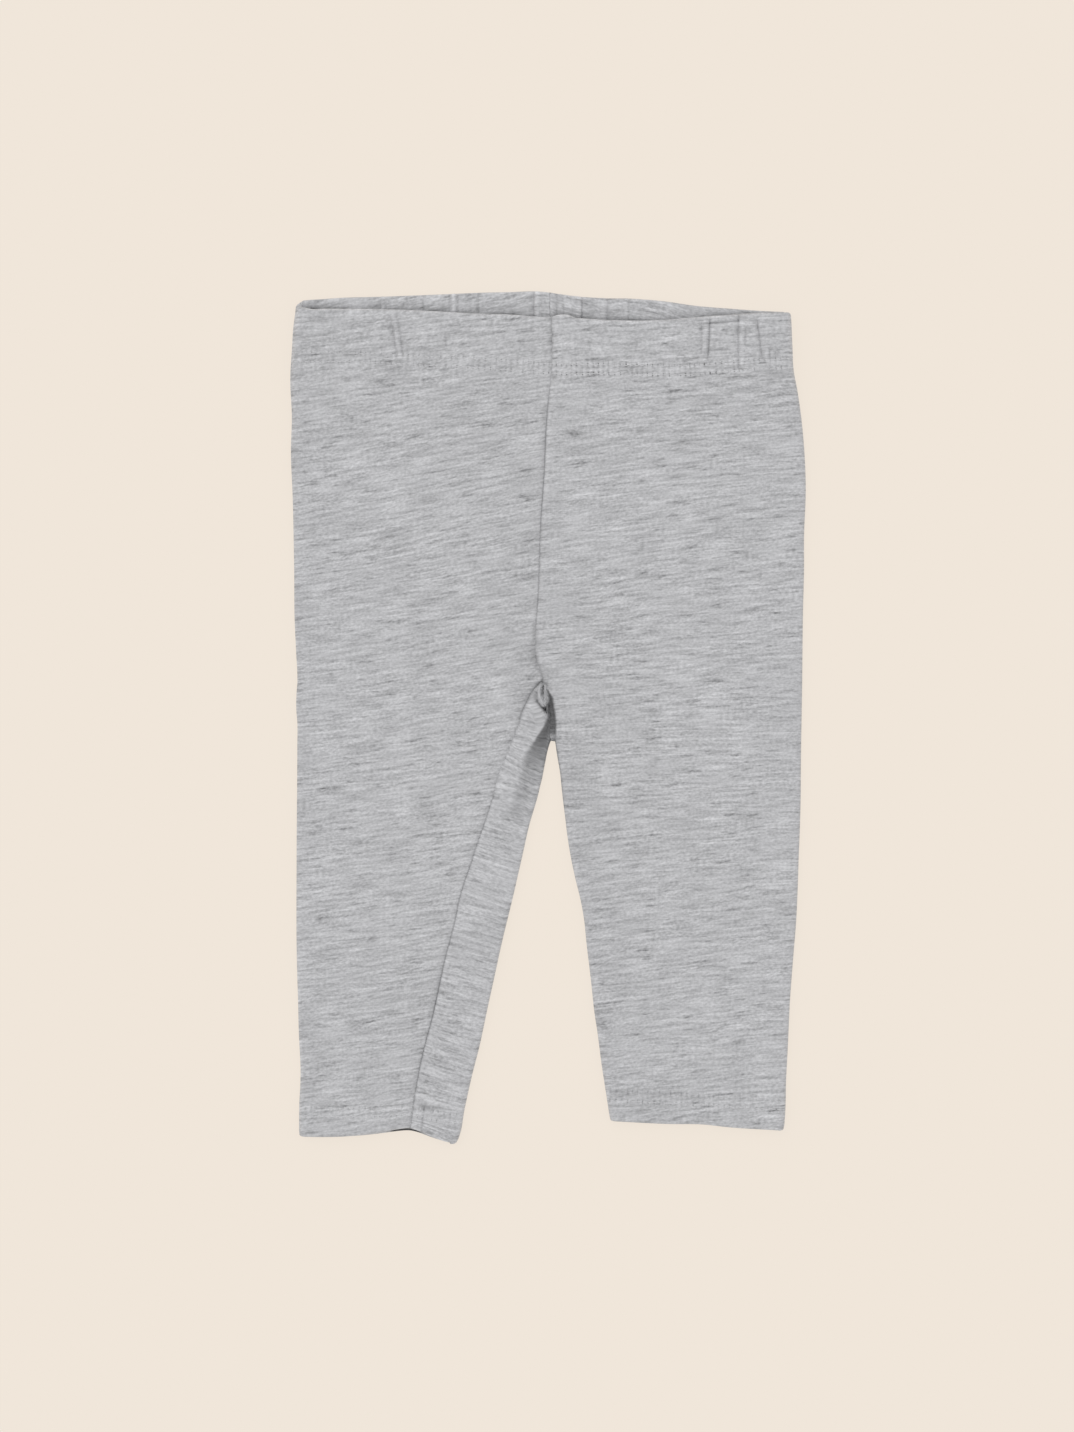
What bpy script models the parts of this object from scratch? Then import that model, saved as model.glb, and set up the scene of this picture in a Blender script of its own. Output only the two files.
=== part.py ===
"""Baby leggings in light grey melange jersey, laid flat on their back.

X runs across the garment to the wearer's left, Y runs up to the waist, and Z is the height over
the table. The garment is drawn in millimetres and its meshes are in metres.

Each leg is cut in one piece with no side seam. It starts at the centre front seam, goes over the
front to the outer fold, back under to the centre back seam, and below the crotch on round the
inner fold. The right leg is twisted, so its inseam lies on its front. The top is turned down as a
casing over the elastic, and the leg ends are turned up as hems. Every piece is an open sheet,
lofted through sections worked out here, with Solidify for the cloth's thickness.
"""
import bisect
import math
from collections import namedtuple

import bpy
import numpy as np

MM = 0.001

# Cloth: the wall of each piece, and how high the front layer's outer face lies over the table.
JERSEY = 1.0
CASING = 2.6  # two layers of jersey over the elastic
HEM = 1.8  # two layers of jersey
SEAM_GAP = 0.3  # between two pieces along every seam
LEG_HEIGHT = 2.8
CASING_HEIGHT = 6.0
HEM_HEIGHT = 4.1
HEM_DEPTH = 10.0

# The crotch: the front layer swells up round it, and a hollow runs down between the legs.
KNOT_Y = 14.0  # where the centre front seam ends and the right inseam starts
SADDLE_Y = -11.6  # the lowest point of the seat, where the gap between the legs starts
HOLLOW_FLOOR = 2.6  # outer face of the seat's cloth at the bottom of the hollow
HOLLOW_TOP = (4.0, 12.0)  # the hollow's floor rises to the knot between these heights
SADDLE_TILT = 70.0  # degrees the right leg's inner fold turns down at the saddle
SADDLE_REACH = 0.09  # and the share of the inseam over which it turns back
SEAT_SHARE = 0.3  # share of the strip's top edge that runs from the saddle to the hollow's seam
SWELL = 3.0
SWELL_PLACE = (0.0, 3.0)
SWELL_SPREAD = (20.0, 26.0)
FADE_BELOW_CASING = 16.0  # how fast the leg thins below the casing and above the hem
FADE_ABOVE_HEM = 8.0
CENTRE_BACK_X = 0.8
BACK_RISES_AT = 60.0  # above this the left leg's back rows rise to the higher back of the waist
EDGE_RADIUS = 1.5  # of the left leg's inner edge where it turns up to the front
EDGE_FLAT = 0.8  # the flat stretch behind that edge
SEAM_FLAT = 0.6  # and behind the centre front seam

# Outlines of the garment as it lies, (y, x) from the waist down.
RIGHT_OUTER = (
    (169, -102.4), (160, -103.8), (150, -104.9), (138, -105.3), (109, -105.2), (90, -104.3),
    (60, -103.6), (27, -102.8), (-12, -102.6), (-58, -102.7), (-99, -102.4), (-116, -102.0),
    (-132, -101.3), (-148, -101.1), (-172, -101.2),
)
LEFT_OUTER = (
    (168, 98.8), (163, 99.2), (150, 99.8), (142, 100.2), (133, 101.9), (125, 103.1),
    (109, 104.7), (93, 105.4), (68, 104.8), (44, 104.3), (11, 103.8), (-34, 103.0), (-66, 102.2),
    (-83, 101.4), (-99, 100.1), (-115, 98.8), (-132, 97.8), (-148, 96.9), (-170, 96.0),
)
RIGHT_INNER = (
    (-11.6, 0.3), (-14, -0.2), (-19, -1.2), (-29, -2.9), (-34, -4.5), (-42, -6.9), (-58, -10.6),
    (-75, -14.7), (-91, -18.8), (-107, -22.4), (-123, -25.7), (-140, -29.6), (-156, -33.5),
    (-167, -35.4), (-175, -36.0),
)
LEFT_INNER = (
    (11, 0.4), (8, 2.0), (4, 2.4), (0, 3.3), (-4, 3.5), (-8, 3.2), (-11.6, 2.3), (-14, 2.4),
    (-19, 4.3), (-24, 4.7), (-34, 6.1), (-42, 6.9), (-58, 9.6), (-66, 11.7), (-75, 13.1),
    (-91, 15.5), (-107, 17.5), (-123, 19.2), (-140, 21.6), (-156, 24.1), (-164, 25.3),
)
# The centre front seam down to the knot, then the right leg's inseam, (y, x).
FRONT_SEAM = (
    (168, 1.5), (140, 1.3), (130, 0.0), (99, -1.6), (84, -2.9), (50, -4.2), (32, -5.1),
    (25, -4.8), (19.5, -3.2), (16.5, -2.2), (14, -3.0), (11.6, -5.7), (8, -7.8), (3, -10.2),
    (-2, -11.7), (-7, -13.6), (-14, -16.4), (-22, -19.8), (-34, -22.9), (-44, -26.2),
    (-58, -31.3), (-72, -36.0), (-87, -39.2), (-96, -41.6), (-123, -47.7), (-133, -50.5),
    (-152, -54.4), (-168, -56.7),
)
# Where the seat's cloth, turned to the front, starts to roll down into the hollow, (y, x).
ROLL = (
    (14, -1.0), (9, 0.2), (5, 0.2), (2, -1.2), (-3, -1.2), (-5, -2.4), (-8, -4.1), (-11, -5.8),
    (-13, -7.3), (-16.5, -8.4), (-21, -8.9), (-40, -14.0),
)
ROLL_WIDTH = ((14, 1.2), (3, 1.2), (-3, 1.8), (-8, 4.0), (-14, 7.0), (-40, 8.0))
ROLL_FADES = (-16.0, -44.0)
# The centre back seam where it comes up the hollow from the saddle to the knot, (y, x).
HOLLOW_SEAM = ((14, -2.4), (10.5, -0.3), (7, 0.5), (3, 0.8), (-11.6, 0.8))

# Edges of the casing, (x, y): its turned top and its stitched base, on the front and the back.
FRONT_TOP = (
    (-99, 168.0), (-96, 166.9), (-68, 166.5), (-51, 166.2), (-29, 165.0), (-6, 164.2),
    (1.4, 164.2), (5, 165.0), (8, 165.0), (11, 163.7), (15, 163.0), (23, 162.6), (34, 162.4),
    (46, 162.7), (61, 164.0), (71, 164.8), (98, 165.2),
)
BACK_TOP = (
    (-100, 170.7), (-68, 172.1), (-40, 172.9), (-5, 174.1), (0, 173.7), (8, 172.3), (23, 171.3),
    (34, 171.1), (46, 170.4), (61, 168.1), (76, 166.9), (87, 166.1), (98, 165.6),
)
FRONT_BASE = (
    (-105, 142.3), (-50, 141.8), (-20, 140.6), (1.4, 139.6), (60, 139.8), (80, 140.8), (102, 142),
)
BACK_BASE = (
    (-105, 142.3), (-90, 145.0), (-68, 149.0), (-5, 151.5), (34, 149.0), (61, 146.0), (90, 142.8),
    (102, 142.0),
)

# Gathers of the casing where the elastic draws it in: x at the top and base, how deep, how wide.
Gather = namedtuple("Gather", "x_top x_base depth width")
FRONT_GATHERS = (
    Gather(-86.0, -85.0, 0.15, 2.4),
    Gather(-63.4, -60.6, 0.40, 1.6),
    Gather(-41.8, -41.2, 0.20, 1.6),
    Gather(-20.0, -19.0, 0.12, 2.4),
    Gather(18.0, 18.6, 0.12, 2.4),
    Gather(41.0, 41.6, 0.15, 2.4),
    Gather(65.4, 63.6, 0.50, 1.7),
    Gather(77.6, 77.4, 0.45, 1.6),
    Gather(84.6, 88.0, 0.40, 1.6),
    Gather(91.4, 92.8, 0.20, 1.4),
)
BACK_GATHERS = (
    Gather(-84.0, -84.0, 0.20, 2.0),
    Gather(-67.6, -67.6, 0.35, 1.6),
    Gather(-51.0, -51.4, 0.30, 1.6),
    Gather(-38.2, -38.2, 0.35, 1.8),
    Gather(-28.4, -28.0, 0.30, 1.6),
    Gather(-5.8, -5.8, 0.35, 1.6),
    Gather(4.4, 4.0, 0.30, 1.4),
    Gather(14.0, 13.6, 0.35, 1.6),
    Gather(22.8, 22.8, 0.30, 1.4),
    Gather(32.0, 32.4, 0.30, 1.6),
    Gather(52.0, 52.0, 0.25, 2.0),
    Gather(70.0, 70.0, 0.25, 2.0),
)

# How many steps each stretch of a section has.
FRONT_STEPS = 12
FOLD_STEPS = 4
BACK_STEPS = 8
STRIP_STEPS = 6
EDGE_STEPS = 6  # the left leg's inner edge
FINE_STEP = 2.4  # between rows at the crotch
SEAM_STEP = 0.7  # from the hollow's seam to the right leg's next row, so its edge lies flat
COARSE_STEP = 13.0  # and far from it
GROWTH = 0.16

# Rows of the casing and the hem from base to edge, with the share of the wall each keeps.
CASING_ROWS = ((0.0, 0.8), (0.06, 1.0), (0.35, 1.0), (0.65, 1.0), (0.93, 0.9), (1.0, 0.5))
HEM_ROWS = ((0.0, 0.8), (0.15, 1.0), (0.88, 1.0), (1.0, 0.6))


def mix(a, b, share):
    return a + (b - a) * share


def ramp(x, start, end):
    """0 before start, 1 past end and smooth between them."""
    t = min(max((x - start) / (end - start), 0.0), 1.0)
    return t * t * (3 - 2 * t)


def smooth(table):
    """A smooth curve through the rows of a table, as a function of their first column."""
    rows = sorted(table)
    at, value = (np.array(column, float) for column in zip(*rows))
    slope = np.gradient(value, at)

    def read(place):
        place = min(max(place, at[0]), at[-1])
        i = min(bisect.bisect_right(at, place) - 1, len(at) - 2)
        step = at[i + 1] - at[i]
        t = (place - at[i]) / step
        return (
            (2 * t**3 - 3 * t**2 + 1) * value[i]
            + (t**3 - 2 * t**2 + t) * step * slope[i]
            + (3 * t**2 - 2 * t**3) * value[i + 1]
            + (t**3 - t**2) * step * slope[i + 1]
        )

    return read


front_seam = smooth(FRONT_SEAM)
roll = smooth(ROLL)
roll_width = smooth(ROLL_WIDTH)
hollow_seam = smooth(HOLLOW_SEAM)
front_top, back_top = smooth(FRONT_TOP), smooth(BACK_TOP)
front_base, back_base = smooth(FRONT_BASE), smooth(BACK_BASE)

# A leg: -1 for the right one and 1 for the left, its outlines, and its hem's lower edge, which is
# a sloping line with an arch over the inseam where the twist draws it up.
Hem = namedtuple("Hem", "x y slope arch_x arch_up arch_out arch_in")
Leg = namedtuple("Leg", "side outer inner hem")
RIGHT = Leg(-1, smooth(RIGHT_OUTER), smooth(RIGHT_INNER),
            Hem(-100.4, -170.8, -0.052, -57.0, 5.4, 14.5, 12.0))
LEFT = Leg(1, smooth(LEFT_OUTER), smooth(LEFT_INNER),
           Hem(29.4, -164.9, -0.055, 60.0, 0.0, 10.0, 10.0))
ARCH_AT_STITCH = 0.35  # the hem's stitch line follows this share of the arch
ARCH_AT_BACK = 0.82  # and the back layer this share, so it shows below the front one


def hem_line(leg, x, t, layer=1.0):
    """The hem's stitch line at t = 0 and its lower edge at t = 1."""
    hem = leg.hem
    away = (x - hem.arch_x) / (hem.arch_out if x < hem.arch_x else hem.arch_in)
    arch = hem.arch_up * math.exp(-away * away) * mix(ARCH_AT_STITCH, layer, t)
    return hem.y + hem.slope * (x - hem.x) + HEM_DEPTH * (1 - t) + arch


def height(leg, x, y):
    """The front layer's outer face over the table."""
    across = (x - SWELL_PLACE[0]) / SWELL_SPREAD[0]
    along = (y - SWELL_PLACE[1]) / SWELL_SPREAD[1]
    below_casing = max(0.0, front_base(x) - y)
    above_hem = max(0.0, y - hem_line(leg, x, 0))
    return (
        LEG_HEIGHT
        + SWELL * math.exp(-across * across - along * along)
        + (CASING_HEIGHT - LEG_HEIGHT) * math.exp(-below_casing / FADE_BELOW_CASING)
        + (HEM_HEIGHT - LEG_HEIGHT) * math.exp(-above_hem / FADE_ABOVE_HEM)
    )


def floor_height(x, y):
    """The outer face of the cloth along the hollow's bottom, which rises to the knot."""
    return mix(HOLLOW_FLOOR, height(RIGHT, x, y), ramp(y, *HOLLOW_TOP))


def strip_height(x, y):
    """The seat's cloth on the right leg's front, which rolls down into the hollow."""
    down = ramp(x, roll(y), roll(y) + roll_width(y)) * ramp(y, ROLL_FADES[1], ROLL_FADES[0])
    return mix(height(RIGHT, x, y), floor_height(x, y), down)


def rows_between(top, bottom):
    """Heights of the rows from top to bottom, closer together near the knot and the saddle."""
    heights = [top]
    while True:
        near = max(0.0, heights[-1] - KNOT_Y, SADDLE_Y - heights[-1])
        y = heights[-1] - min(FINE_STEP + GROWTH * near, COARSE_STEP)
        if y < bottom:
            break
        heights.append(y)
    spare = (heights[-1] - bottom) / (len(heights) - 1)
    return [y - spare * i for i, y in enumerate(heights)]


def arc(centre, out, radius, first, last, steps):
    """Points round a fold, between angle first and last in degrees, 90 being on top."""
    points = []
    for i in range(1, steps):
        angle = math.radians(mix(first, last, i / steps))
        reach, z = radius * math.cos(angle), centre[2] + radius * math.sin(angle)
        points.append((centre[0] + out[0] * reach, centre[1] + out[1] * reach, z))
    return points


def outer_fold(leg, y_front, y_back, total, wall):
    """Points round the outer fold from the front to the back, and where the fold starts in x."""
    start = leg.outer((y_front + y_back) / 2) - leg.side * total / 2
    points = arc((start, y_front, total / 2), (leg.side, 0), (total - wall) / 2, 90, -90, FOLD_STEPS)
    lean = [(i + 1) / FOLD_STEPS for i in range(len(points))]
    return start, [(x, mix(y_front, y_back, t), z) for (x, y, z), t in zip(points, lean)]


def settled(share, v, ends, top, bottom):
    """A row's height at this share of the way between its ends.

    ends, top and bottom are the heights at both ends of this row, of the top row and of the bottom
    row; top and bottom have the edge line's own height here as a third value, and the rows near
    that edge bend as it does.
    """
    top_bend = (top[2] - mix(top[0], top[1], share)) * (1 - v) ** 6
    bottom_bend = (bottom[2] - mix(bottom[0], bottom[1], share)) * v**6
    return mix(ends[0], ends[1], share) + top_bend + bottom_bend


def right_leg():
    """Rows of the right leg's sheet: front, outer fold, back, then inner fold and strip."""
    leg, side = RIGHT, RIGHT.side
    top = front_base(front_seam(140)) - SEAM_GAP
    bottom = hem_line(leg, front_seam(-160), 0) + SEAM_GAP
    upper = rows_between(top, KNOT_Y)
    lower = [KNOT_Y - SEAM_STEP] + rows_between(KNOT_Y, bottom)[1:]
    fold_top = front_base(leg.outer(142)) - SEAM_GAP
    fold_bottom = hem_line(leg, leg.outer(-160), 0) + SEAM_GAP
    back_start = back_base(CENTRE_BACK_X) - SEAM_GAP
    inner_bottom = hem_line(leg, leg.inner(-163), 0) + SEAM_GAP
    seam_end = (front_seam(bottom) + SEAM_GAP / 2, bottom)
    centre_end = inner_centre(leg, inner_bottom, 1.0)
    rows = []
    for y_seam in upper + lower:
        v = (top - y_seam) / (top - bottom)
        below = y_seam <= KNOT_Y
        w = max(0.0, (KNOT_Y - y_seam) / (KNOT_Y - bottom))
        y_fold = mix(fold_top, fold_bottom, v)
        total = height(leg, leg.outer(y_fold), y_fold)
        fold_x, fold = outer_fold(leg, y_fold, y_fold, total, JERSEY)
        row = []
        for i in range(FRONT_STEPS + 1):
            u = i / FRONT_STEPS
            x = mix(front_seam(y_seam) + side * SEAM_GAP / 2, fold_x, u)
            y = settled(math.sin(u * math.pi / 2), v, (y_seam, y_fold),
                        (top, fold_top, front_base(x) - SEAM_GAP),
                        (bottom, fold_bottom, hem_line(leg, x, 0) + SEAM_GAP))
            row.append((x, y, height(leg, x, y) - JERSEY / 2))
        row += fold
        if below:
            y_inner = mix(SADDLE_Y, inner_bottom, w)
            centre = inner_centre(leg, y_inner, w)
            inner_x, inner_y = centre[:2]
        else:
            inner_x = CENTRE_BACK_X - SEAM_GAP / 2
            inner_y = mix(SADDLE_Y + 1, back_start, (y_seam - KNOT_Y) / (top - KNOT_Y))
        for i in range(BACK_STEPS + 1):
            u = i / BACK_STEPS
            x = mix(fold_x, inner_x, u)
            y = settled(1 - math.cos(u * math.pi / 2), v, (y_fold, inner_y),
                        (fold_top, back_start, back_base(x) - SEAM_GAP),
                        (fold_bottom, inner_bottom, hem_line(leg, x, 0) + SEAM_GAP))
            row.append((x, y, JERSEY / 2))
        if below:
            total = centre[2] * 2
            row += arc(centre, inner_out(w), (total - JERSEY) / 2, -90, 90, FOLD_STEPS)
            seam = (front_seam(y_seam) + SEAM_GAP / 2, y_seam)
            for i in range(STRIP_STEPS + 1):
                k = i / STRIP_STEPS
                x, y = strip_point(k, w, centre, seam, centre_end, seam_end)
                y += (hem_line(leg, x, 0) + SEAM_GAP - mix(inner_bottom, bottom, k)) * v**6
                row.append((x, y, strip_height(x, y) - JERSEY / 2))
        rows.append(row)
    return rows


def inner_out(w):
    """The way the right leg's inner fold faces: down at the saddle, then across."""
    angle = math.radians(SADDLE_TILT * (ramp(w, 0.0, SADDLE_REACH) - 1))
    return math.cos(angle), math.sin(angle)


def inner_centre(leg, y, w):
    """Centre of the right leg's inner fold at height y."""
    x = leg.inner(y)
    half = strip_height(x, y) / 2
    out = inner_out(w)
    return x - half * out[0], y - half * out[1], half


def strip_point(k, w, centre, seam, centre_end, seam_end):
    """A point of the strip between the inner fold (k = 0) and the inseam (k = 1), w down the leg."""
    first = inner_centre(RIGHT, SADDLE_Y, 0.0)
    knot = (front_seam(KNOT_Y) + SEAM_GAP / 2, KNOT_Y)
    y_top = mix(first[1], knot[1], k)
    top = (mix(first[0], hollow_seam(y_top) - SEAM_GAP / 2, ramp(k, 0, SEAT_SHARE)), y_top)
    end = (mix(centre_end[0], seam_end[0], k), mix(centre_end[1], seam_end[1], k))
    point = []
    for axis in (0, 1):
        edges = mix(top[axis], end[axis], w) + mix(centre[axis], seam[axis], k)
        corners = mix(mix(first[axis], knot[axis], k), mix(centre_end[axis], seam_end[axis], k), w)
        point.append(edges - corners)
    return point


def left_edge(y_seam):
    """Section of the left leg's inner edge, from its seam up to the front, as (x, z) points."""
    leg = LEFT
    if y_seam > KNOT_Y:
        start = front_seam(y_seam) + SEAM_GAP / 2
        top = height(leg, start, y_seam) - JERSEY / 2
        return [(start + SEAM_FLAT * i, top) for i in range(EDGE_STEPS + 1)]
    wall_x = max(leg.inner(y_seam), hollow_seam(y_seam) + SEAM_GAP / 2) + JERSEY / 2
    top = height(leg, wall_x, y_seam) - JERSEY / 2
    if y_seam > SADDLE_Y:
        floor = floor_height(wall_x, y_seam) - JERSEY / 2
        path = [(hollow_seam(y_seam) + SEAM_GAP / 2, floor), (wall_x, floor)]
    else:
        path = [(wall_x, JERSEY + SEAM_GAP)]
        floor = path[0][1]
    radius = min(EDGE_RADIUS, 0.8 * (top - floor))
    path += [
        (wall_x + radius * (1 - math.cos(a)), top - radius * (1 - math.sin(a)))
        for a in (math.radians(angle) for angle in range(0, 91, 15))
    ]
    path.append((wall_x + radius + EDGE_FLAT, top))
    steps = [0.0]
    for a, b in zip(path, path[1:]):
        steps.append(steps[-1] + math.dist(a, b))
    places = [steps[-1] * i / EDGE_STEPS for i in range(EDGE_STEPS + 1)]
    xs, zs = ([p[axis] for p in path] for axis in (0, 1))
    return [(np.interp(s, steps, xs), np.interp(s, steps, zs)) for s in places]


def left_leg():
    """Rows of the left leg's sheet: inner edge, front, outer fold, back."""
    leg = LEFT
    top = front_base(front_seam(140)) - SEAM_GAP
    bottom = hem_line(leg, leg.inner(-155), 0) + SEAM_GAP
    upper = rows_between(top, KNOT_Y)
    lower = rows_between(KNOT_Y, bottom)[1:]
    fold_top = front_base(leg.outer(142)) - SEAM_GAP
    fold_bottom = hem_line(leg, leg.outer(-160), 0) + SEAM_GAP
    back_start = back_base(CENTRE_BACK_X) - SEAM_GAP
    rows = []
    for y_seam in upper + lower:
        v = (top - y_seam) / (top - bottom)
        y_fold = mix(fold_top, fold_bottom, v)
        total = height(leg, leg.outer(y_fold), y_fold)
        fold_x, fold = outer_fold(leg, y_fold, y_fold, total, JERSEY)
        edge = left_edge(y_seam)
        row = [(x, y_seam, z) for x, z in edge[:-1]]
        for i in range(FRONT_STEPS + 1):
            u = i / FRONT_STEPS
            x = mix(edge[-1][0], fold_x, u)
            y = settled(math.sin(u * math.pi / 2), v, (y_seam, y_fold),
                        (top, fold_top, front_base(x) - SEAM_GAP),
                        (bottom, fold_bottom, hem_line(leg, x, 0) + SEAM_GAP))
            row.append((x, y, height(leg, x, y) - JERSEY / 2))
        row += fold
        y_back = y_seam + (back_start - top) * ramp(y_seam, BACK_RISES_AT, top)
        back_x = CENTRE_BACK_X + SEAM_GAP / 2
        if y_back < SADDLE_Y:
            back_x = max(back_x, leg.inner(y_back))
        for i in range(BACK_STEPS + 1):
            u = i / BACK_STEPS
            x = mix(fold_x, back_x, u)
            y = settled(1 - math.cos(u * math.pi / 2), v, (y_fold, y_back),
                        (fold_top, back_start, back_base(x) - SEAM_GAP),
                        (fold_bottom, bottom, hem_line(leg, x, 0) + SEAM_GAP))
            row.append((x, y, JERSEY / 2))
        rows.append(row)
    return rows


def gather_columns(start, end, gathers, steps):
    """Shares of the way from start to end: even steps, and three columns on each gather."""
    low, high = sorted((start, end))
    places = [(mix(start, end, i / steps), 0.0) for i in range(steps + 1)]
    for g in gathers:
        x = (g.x_top + g.x_base) / 2
        if low + g.width < x < high - g.width:
            places = [p for p in places if abs(p[0] - x) > 1.3 * g.width or p[0] in (start, end)]
            lean = g.x_top - g.x_base
            places += [(x - g.width / 2, lean), (x, lean), (x + g.width / 2, lean)]
    return sorted(places, key=lambda p: abs(p[0] - start))


def gather_drop(x, t, gathers):
    """How far the cloth sinks at x, t up the casing."""
    drop = 0.0
    for g in gathers:
        away = abs(x - mix(g.x_base, g.x_top, t)) / (g.width / 2)
        drop += g.depth * max(0.0, 1 - away)
    return drop


def casing(leg):
    """Rows of half the casing, from centre front over the outer fold to centre back."""
    side = leg.side
    rows, shares = [], []
    for t, keep in CASING_ROWS:
        row, share = [], []
        y_fold = mix(front_base(leg.outer(142)), (front_top(side * 99) + back_top(side * 99)) / 2, t)
        start = front_seam(150) + side * SEAM_GAP / 2
        fold_x, fold = outer_fold(leg, y_fold, y_fold, CASING_HEIGHT, CASING)
        for x, lean in gather_columns(start, fold_x, FRONT_GATHERS, 7):
            x += lean * (t - 0.5)
            y = mix(front_base(x), front_top(x), t)
            drop = gather_drop(x, t, FRONT_GATHERS)
            row.append((x, y, CASING_HEIGHT - CASING / 2 - drop))
            share.append(keep)
        row += fold
        share += [keep] * len(fold)
        for x, lean in gather_columns(fold_x, CENTRE_BACK_X + side * SEAM_GAP / 2, BACK_GATHERS, 6):
            x += lean * (t - 0.5)
            y = mix(back_base(x), back_top(x), t)
            local = keep * (1 - gather_drop(x, t, BACK_GATHERS) / CASING)
            row.append((x, y, CASING * local / 2 if t < 0.9 else CASING / 2))
            share.append(local)
        rows.append(row)
        shares.append(share)
    return rows, shares


def right_hem():
    """Rows of the right hem: front from the inseam out, outer fold, back, inner fold, strip."""
    leg = RIGHT
    rows, shares = [], []
    for t, keep in HEM_ROWS:
        y_seam = hem_line(leg, front_seam(-164), t)
        y_fold = hem_line(leg, leg.outer(-164), t)
        fold_x, fold = outer_fold(leg, y_fold, y_fold, HEM_HEIGHT, HEM)
        row = []
        for i in range(FRONT_STEPS + 1):
            x = mix(front_seam(y_seam) - SEAM_GAP / 2, fold_x, i / FRONT_STEPS)
            row.append((x, hem_line(leg, x, t), HEM_HEIGHT - HEM / 2))
        row += fold
        y_inner = hem_line(leg, leg.inner(-167), t)
        centre = (leg.inner(y_inner) - HEM_HEIGHT / 2, y_inner, HEM_HEIGHT / 2)
        for i in range(BACK_STEPS + 1):
            x = mix(fold_x, centre[0], i / BACK_STEPS)
            row.append((x, hem_line(leg, x, t, ARCH_AT_BACK), HEM / 2))
        row += arc(centre, (1, 0), (HEM_HEIGHT - HEM) / 2, -90, 90, FOLD_STEPS)
        for i in range(STRIP_STEPS + 1):
            x = mix(centre[0], front_seam(y_seam) + SEAM_GAP / 2, i / STRIP_STEPS)
            row.append((x, hem_line(leg, x, t), HEM_HEIGHT - HEM / 2))
        rows.append(row)
        shares.append([keep] * len(row))
    return rows, shares


def left_hem():
    """Rows of the left hem: front from the inner edge out, outer fold, back."""
    leg = LEFT
    rows, shares = [], []
    for t, keep in HEM_ROWS:
        y_fold = hem_line(leg, leg.outer(-164), t)
        fold_x, fold = outer_fold(leg, y_fold, y_fold, HEM_HEIGHT, HEM)
        y_inner = hem_line(leg, leg.inner(-160), t)
        edge = leg.inner(y_inner) + HEM / 2
        drop = HEM_HEIGHT - HEM / 2 - (HEM + SEAM_GAP)
        row = [(edge, y_inner, HEM + SEAM_GAP)]
        row += [
            (edge + drop * (1 - math.cos(a)), y_inner, HEM + SEAM_GAP + drop * math.sin(a))
            for a in (math.radians(angle) for angle in (30, 60))
        ]
        for i in range(FRONT_STEPS + 1):
            x = mix(edge + drop, fold_x, i / FRONT_STEPS)
            row.append((x, hem_line(leg, x, t), HEM_HEIGHT - HEM / 2))
        row += fold
        for i in range(BACK_STEPS + 1):
            x = mix(fold_x, edge - HEM / 2, i / BACK_STEPS)
            row.append((x, hem_line(leg, x, t), HEM / 2))
        rows.append(row)
        shares.append([keep] * len(row))
    return rows, shares


def cloth_material():
    material = bpy.data.materials.new("grey_melange_jersey")
    material.use_nodes = True
    shader = material.node_tree.nodes["Principled BSDF"]
    shader.inputs["Base Color"].default_value = (0.47, 0.47, 0.48, 1.0)
    shader.inputs["Roughness"].default_value = 0.95
    shader.inputs["Metallic"].default_value = 0.0
    return material


def make_sheet(name, rows, shares, wall, material, collection):
    """Lofts a sheet through the rows and thickens it; a share below 1 thins the wall there."""
    points, faces, first = [], [], [0]
    for row in rows:
        points += [(x * MM, y * MM, z * MM) for x, y, z in row]
        first.append(first[-1] + len(row))
    for i, (row, after) in enumerate(zip(rows, rows[1:])):
        for j in range(min(len(row), len(after)) - 1):
            a, b = first[i] + j, first[i + 1] + j
            faces.append((a, b, b + 1, a + 1))
    mesh = bpy.data.meshes.new(name)
    mesh.from_pydata(points, [], faces)
    mesh.materials.append(material)
    mesh.shade_smooth()
    piece = bpy.data.objects.new(name, mesh)
    collection.objects.link(piece)
    solidify = piece.modifiers.new("cloth thickness", "SOLIDIFY")
    solidify.thickness = wall * MM
    solidify.offset = 0.0
    solidify.use_quality_normals = True
    if shares:
        group = piece.vertex_groups.new(name="wall")
        for i, share in enumerate(s for row in shares for s in row):
            group.add([i], share, "REPLACE")
        solidify.vertex_group = group.name
    return piece


def build():
    for thing in list(bpy.data.objects):
        bpy.data.objects.remove(thing, do_unlink=True)
    collection = bpy.data.collections.new("leggings")
    bpy.context.scene.collection.children.link(collection)
    cloth = cloth_material()
    make_sheet("leg_right", right_leg(), None, JERSEY, cloth, collection)
    make_sheet("leg_left", left_leg(), None, JERSEY, cloth, collection)
    for name, leg in (("waistband_right", RIGHT), ("waistband_left", LEFT)):
        rows, shares = casing(leg)
        make_sheet(name, rows, shares, CASING, cloth, collection)
    for name, (rows, shares) in (("hem_right", right_hem()), ("hem_left", left_hem())):
        make_sheet(name, rows, shares, HEM, cloth, collection)


build()
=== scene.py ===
"""Looks of the baby leggings: light grey melange jersey, laid flat on their back on a pale table.

X runs across the garment to the wearer's left, Y up to the waist and Z up from the table. Shapes
are worked out in millimetres and the meshes are in metres.

Each leg is one cut piece of jersey. It starts at the centre front seam, goes over the front to the
outer fold and back under to the centre back seam, and below the crotch it closes at the inseam.
Its top is turned down inside as the casing, and its end is turned up inside as the hem, so one
sheet stands for the leg, its half of the casing and its hem.
"""
import math
from collections import namedtuple

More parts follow.
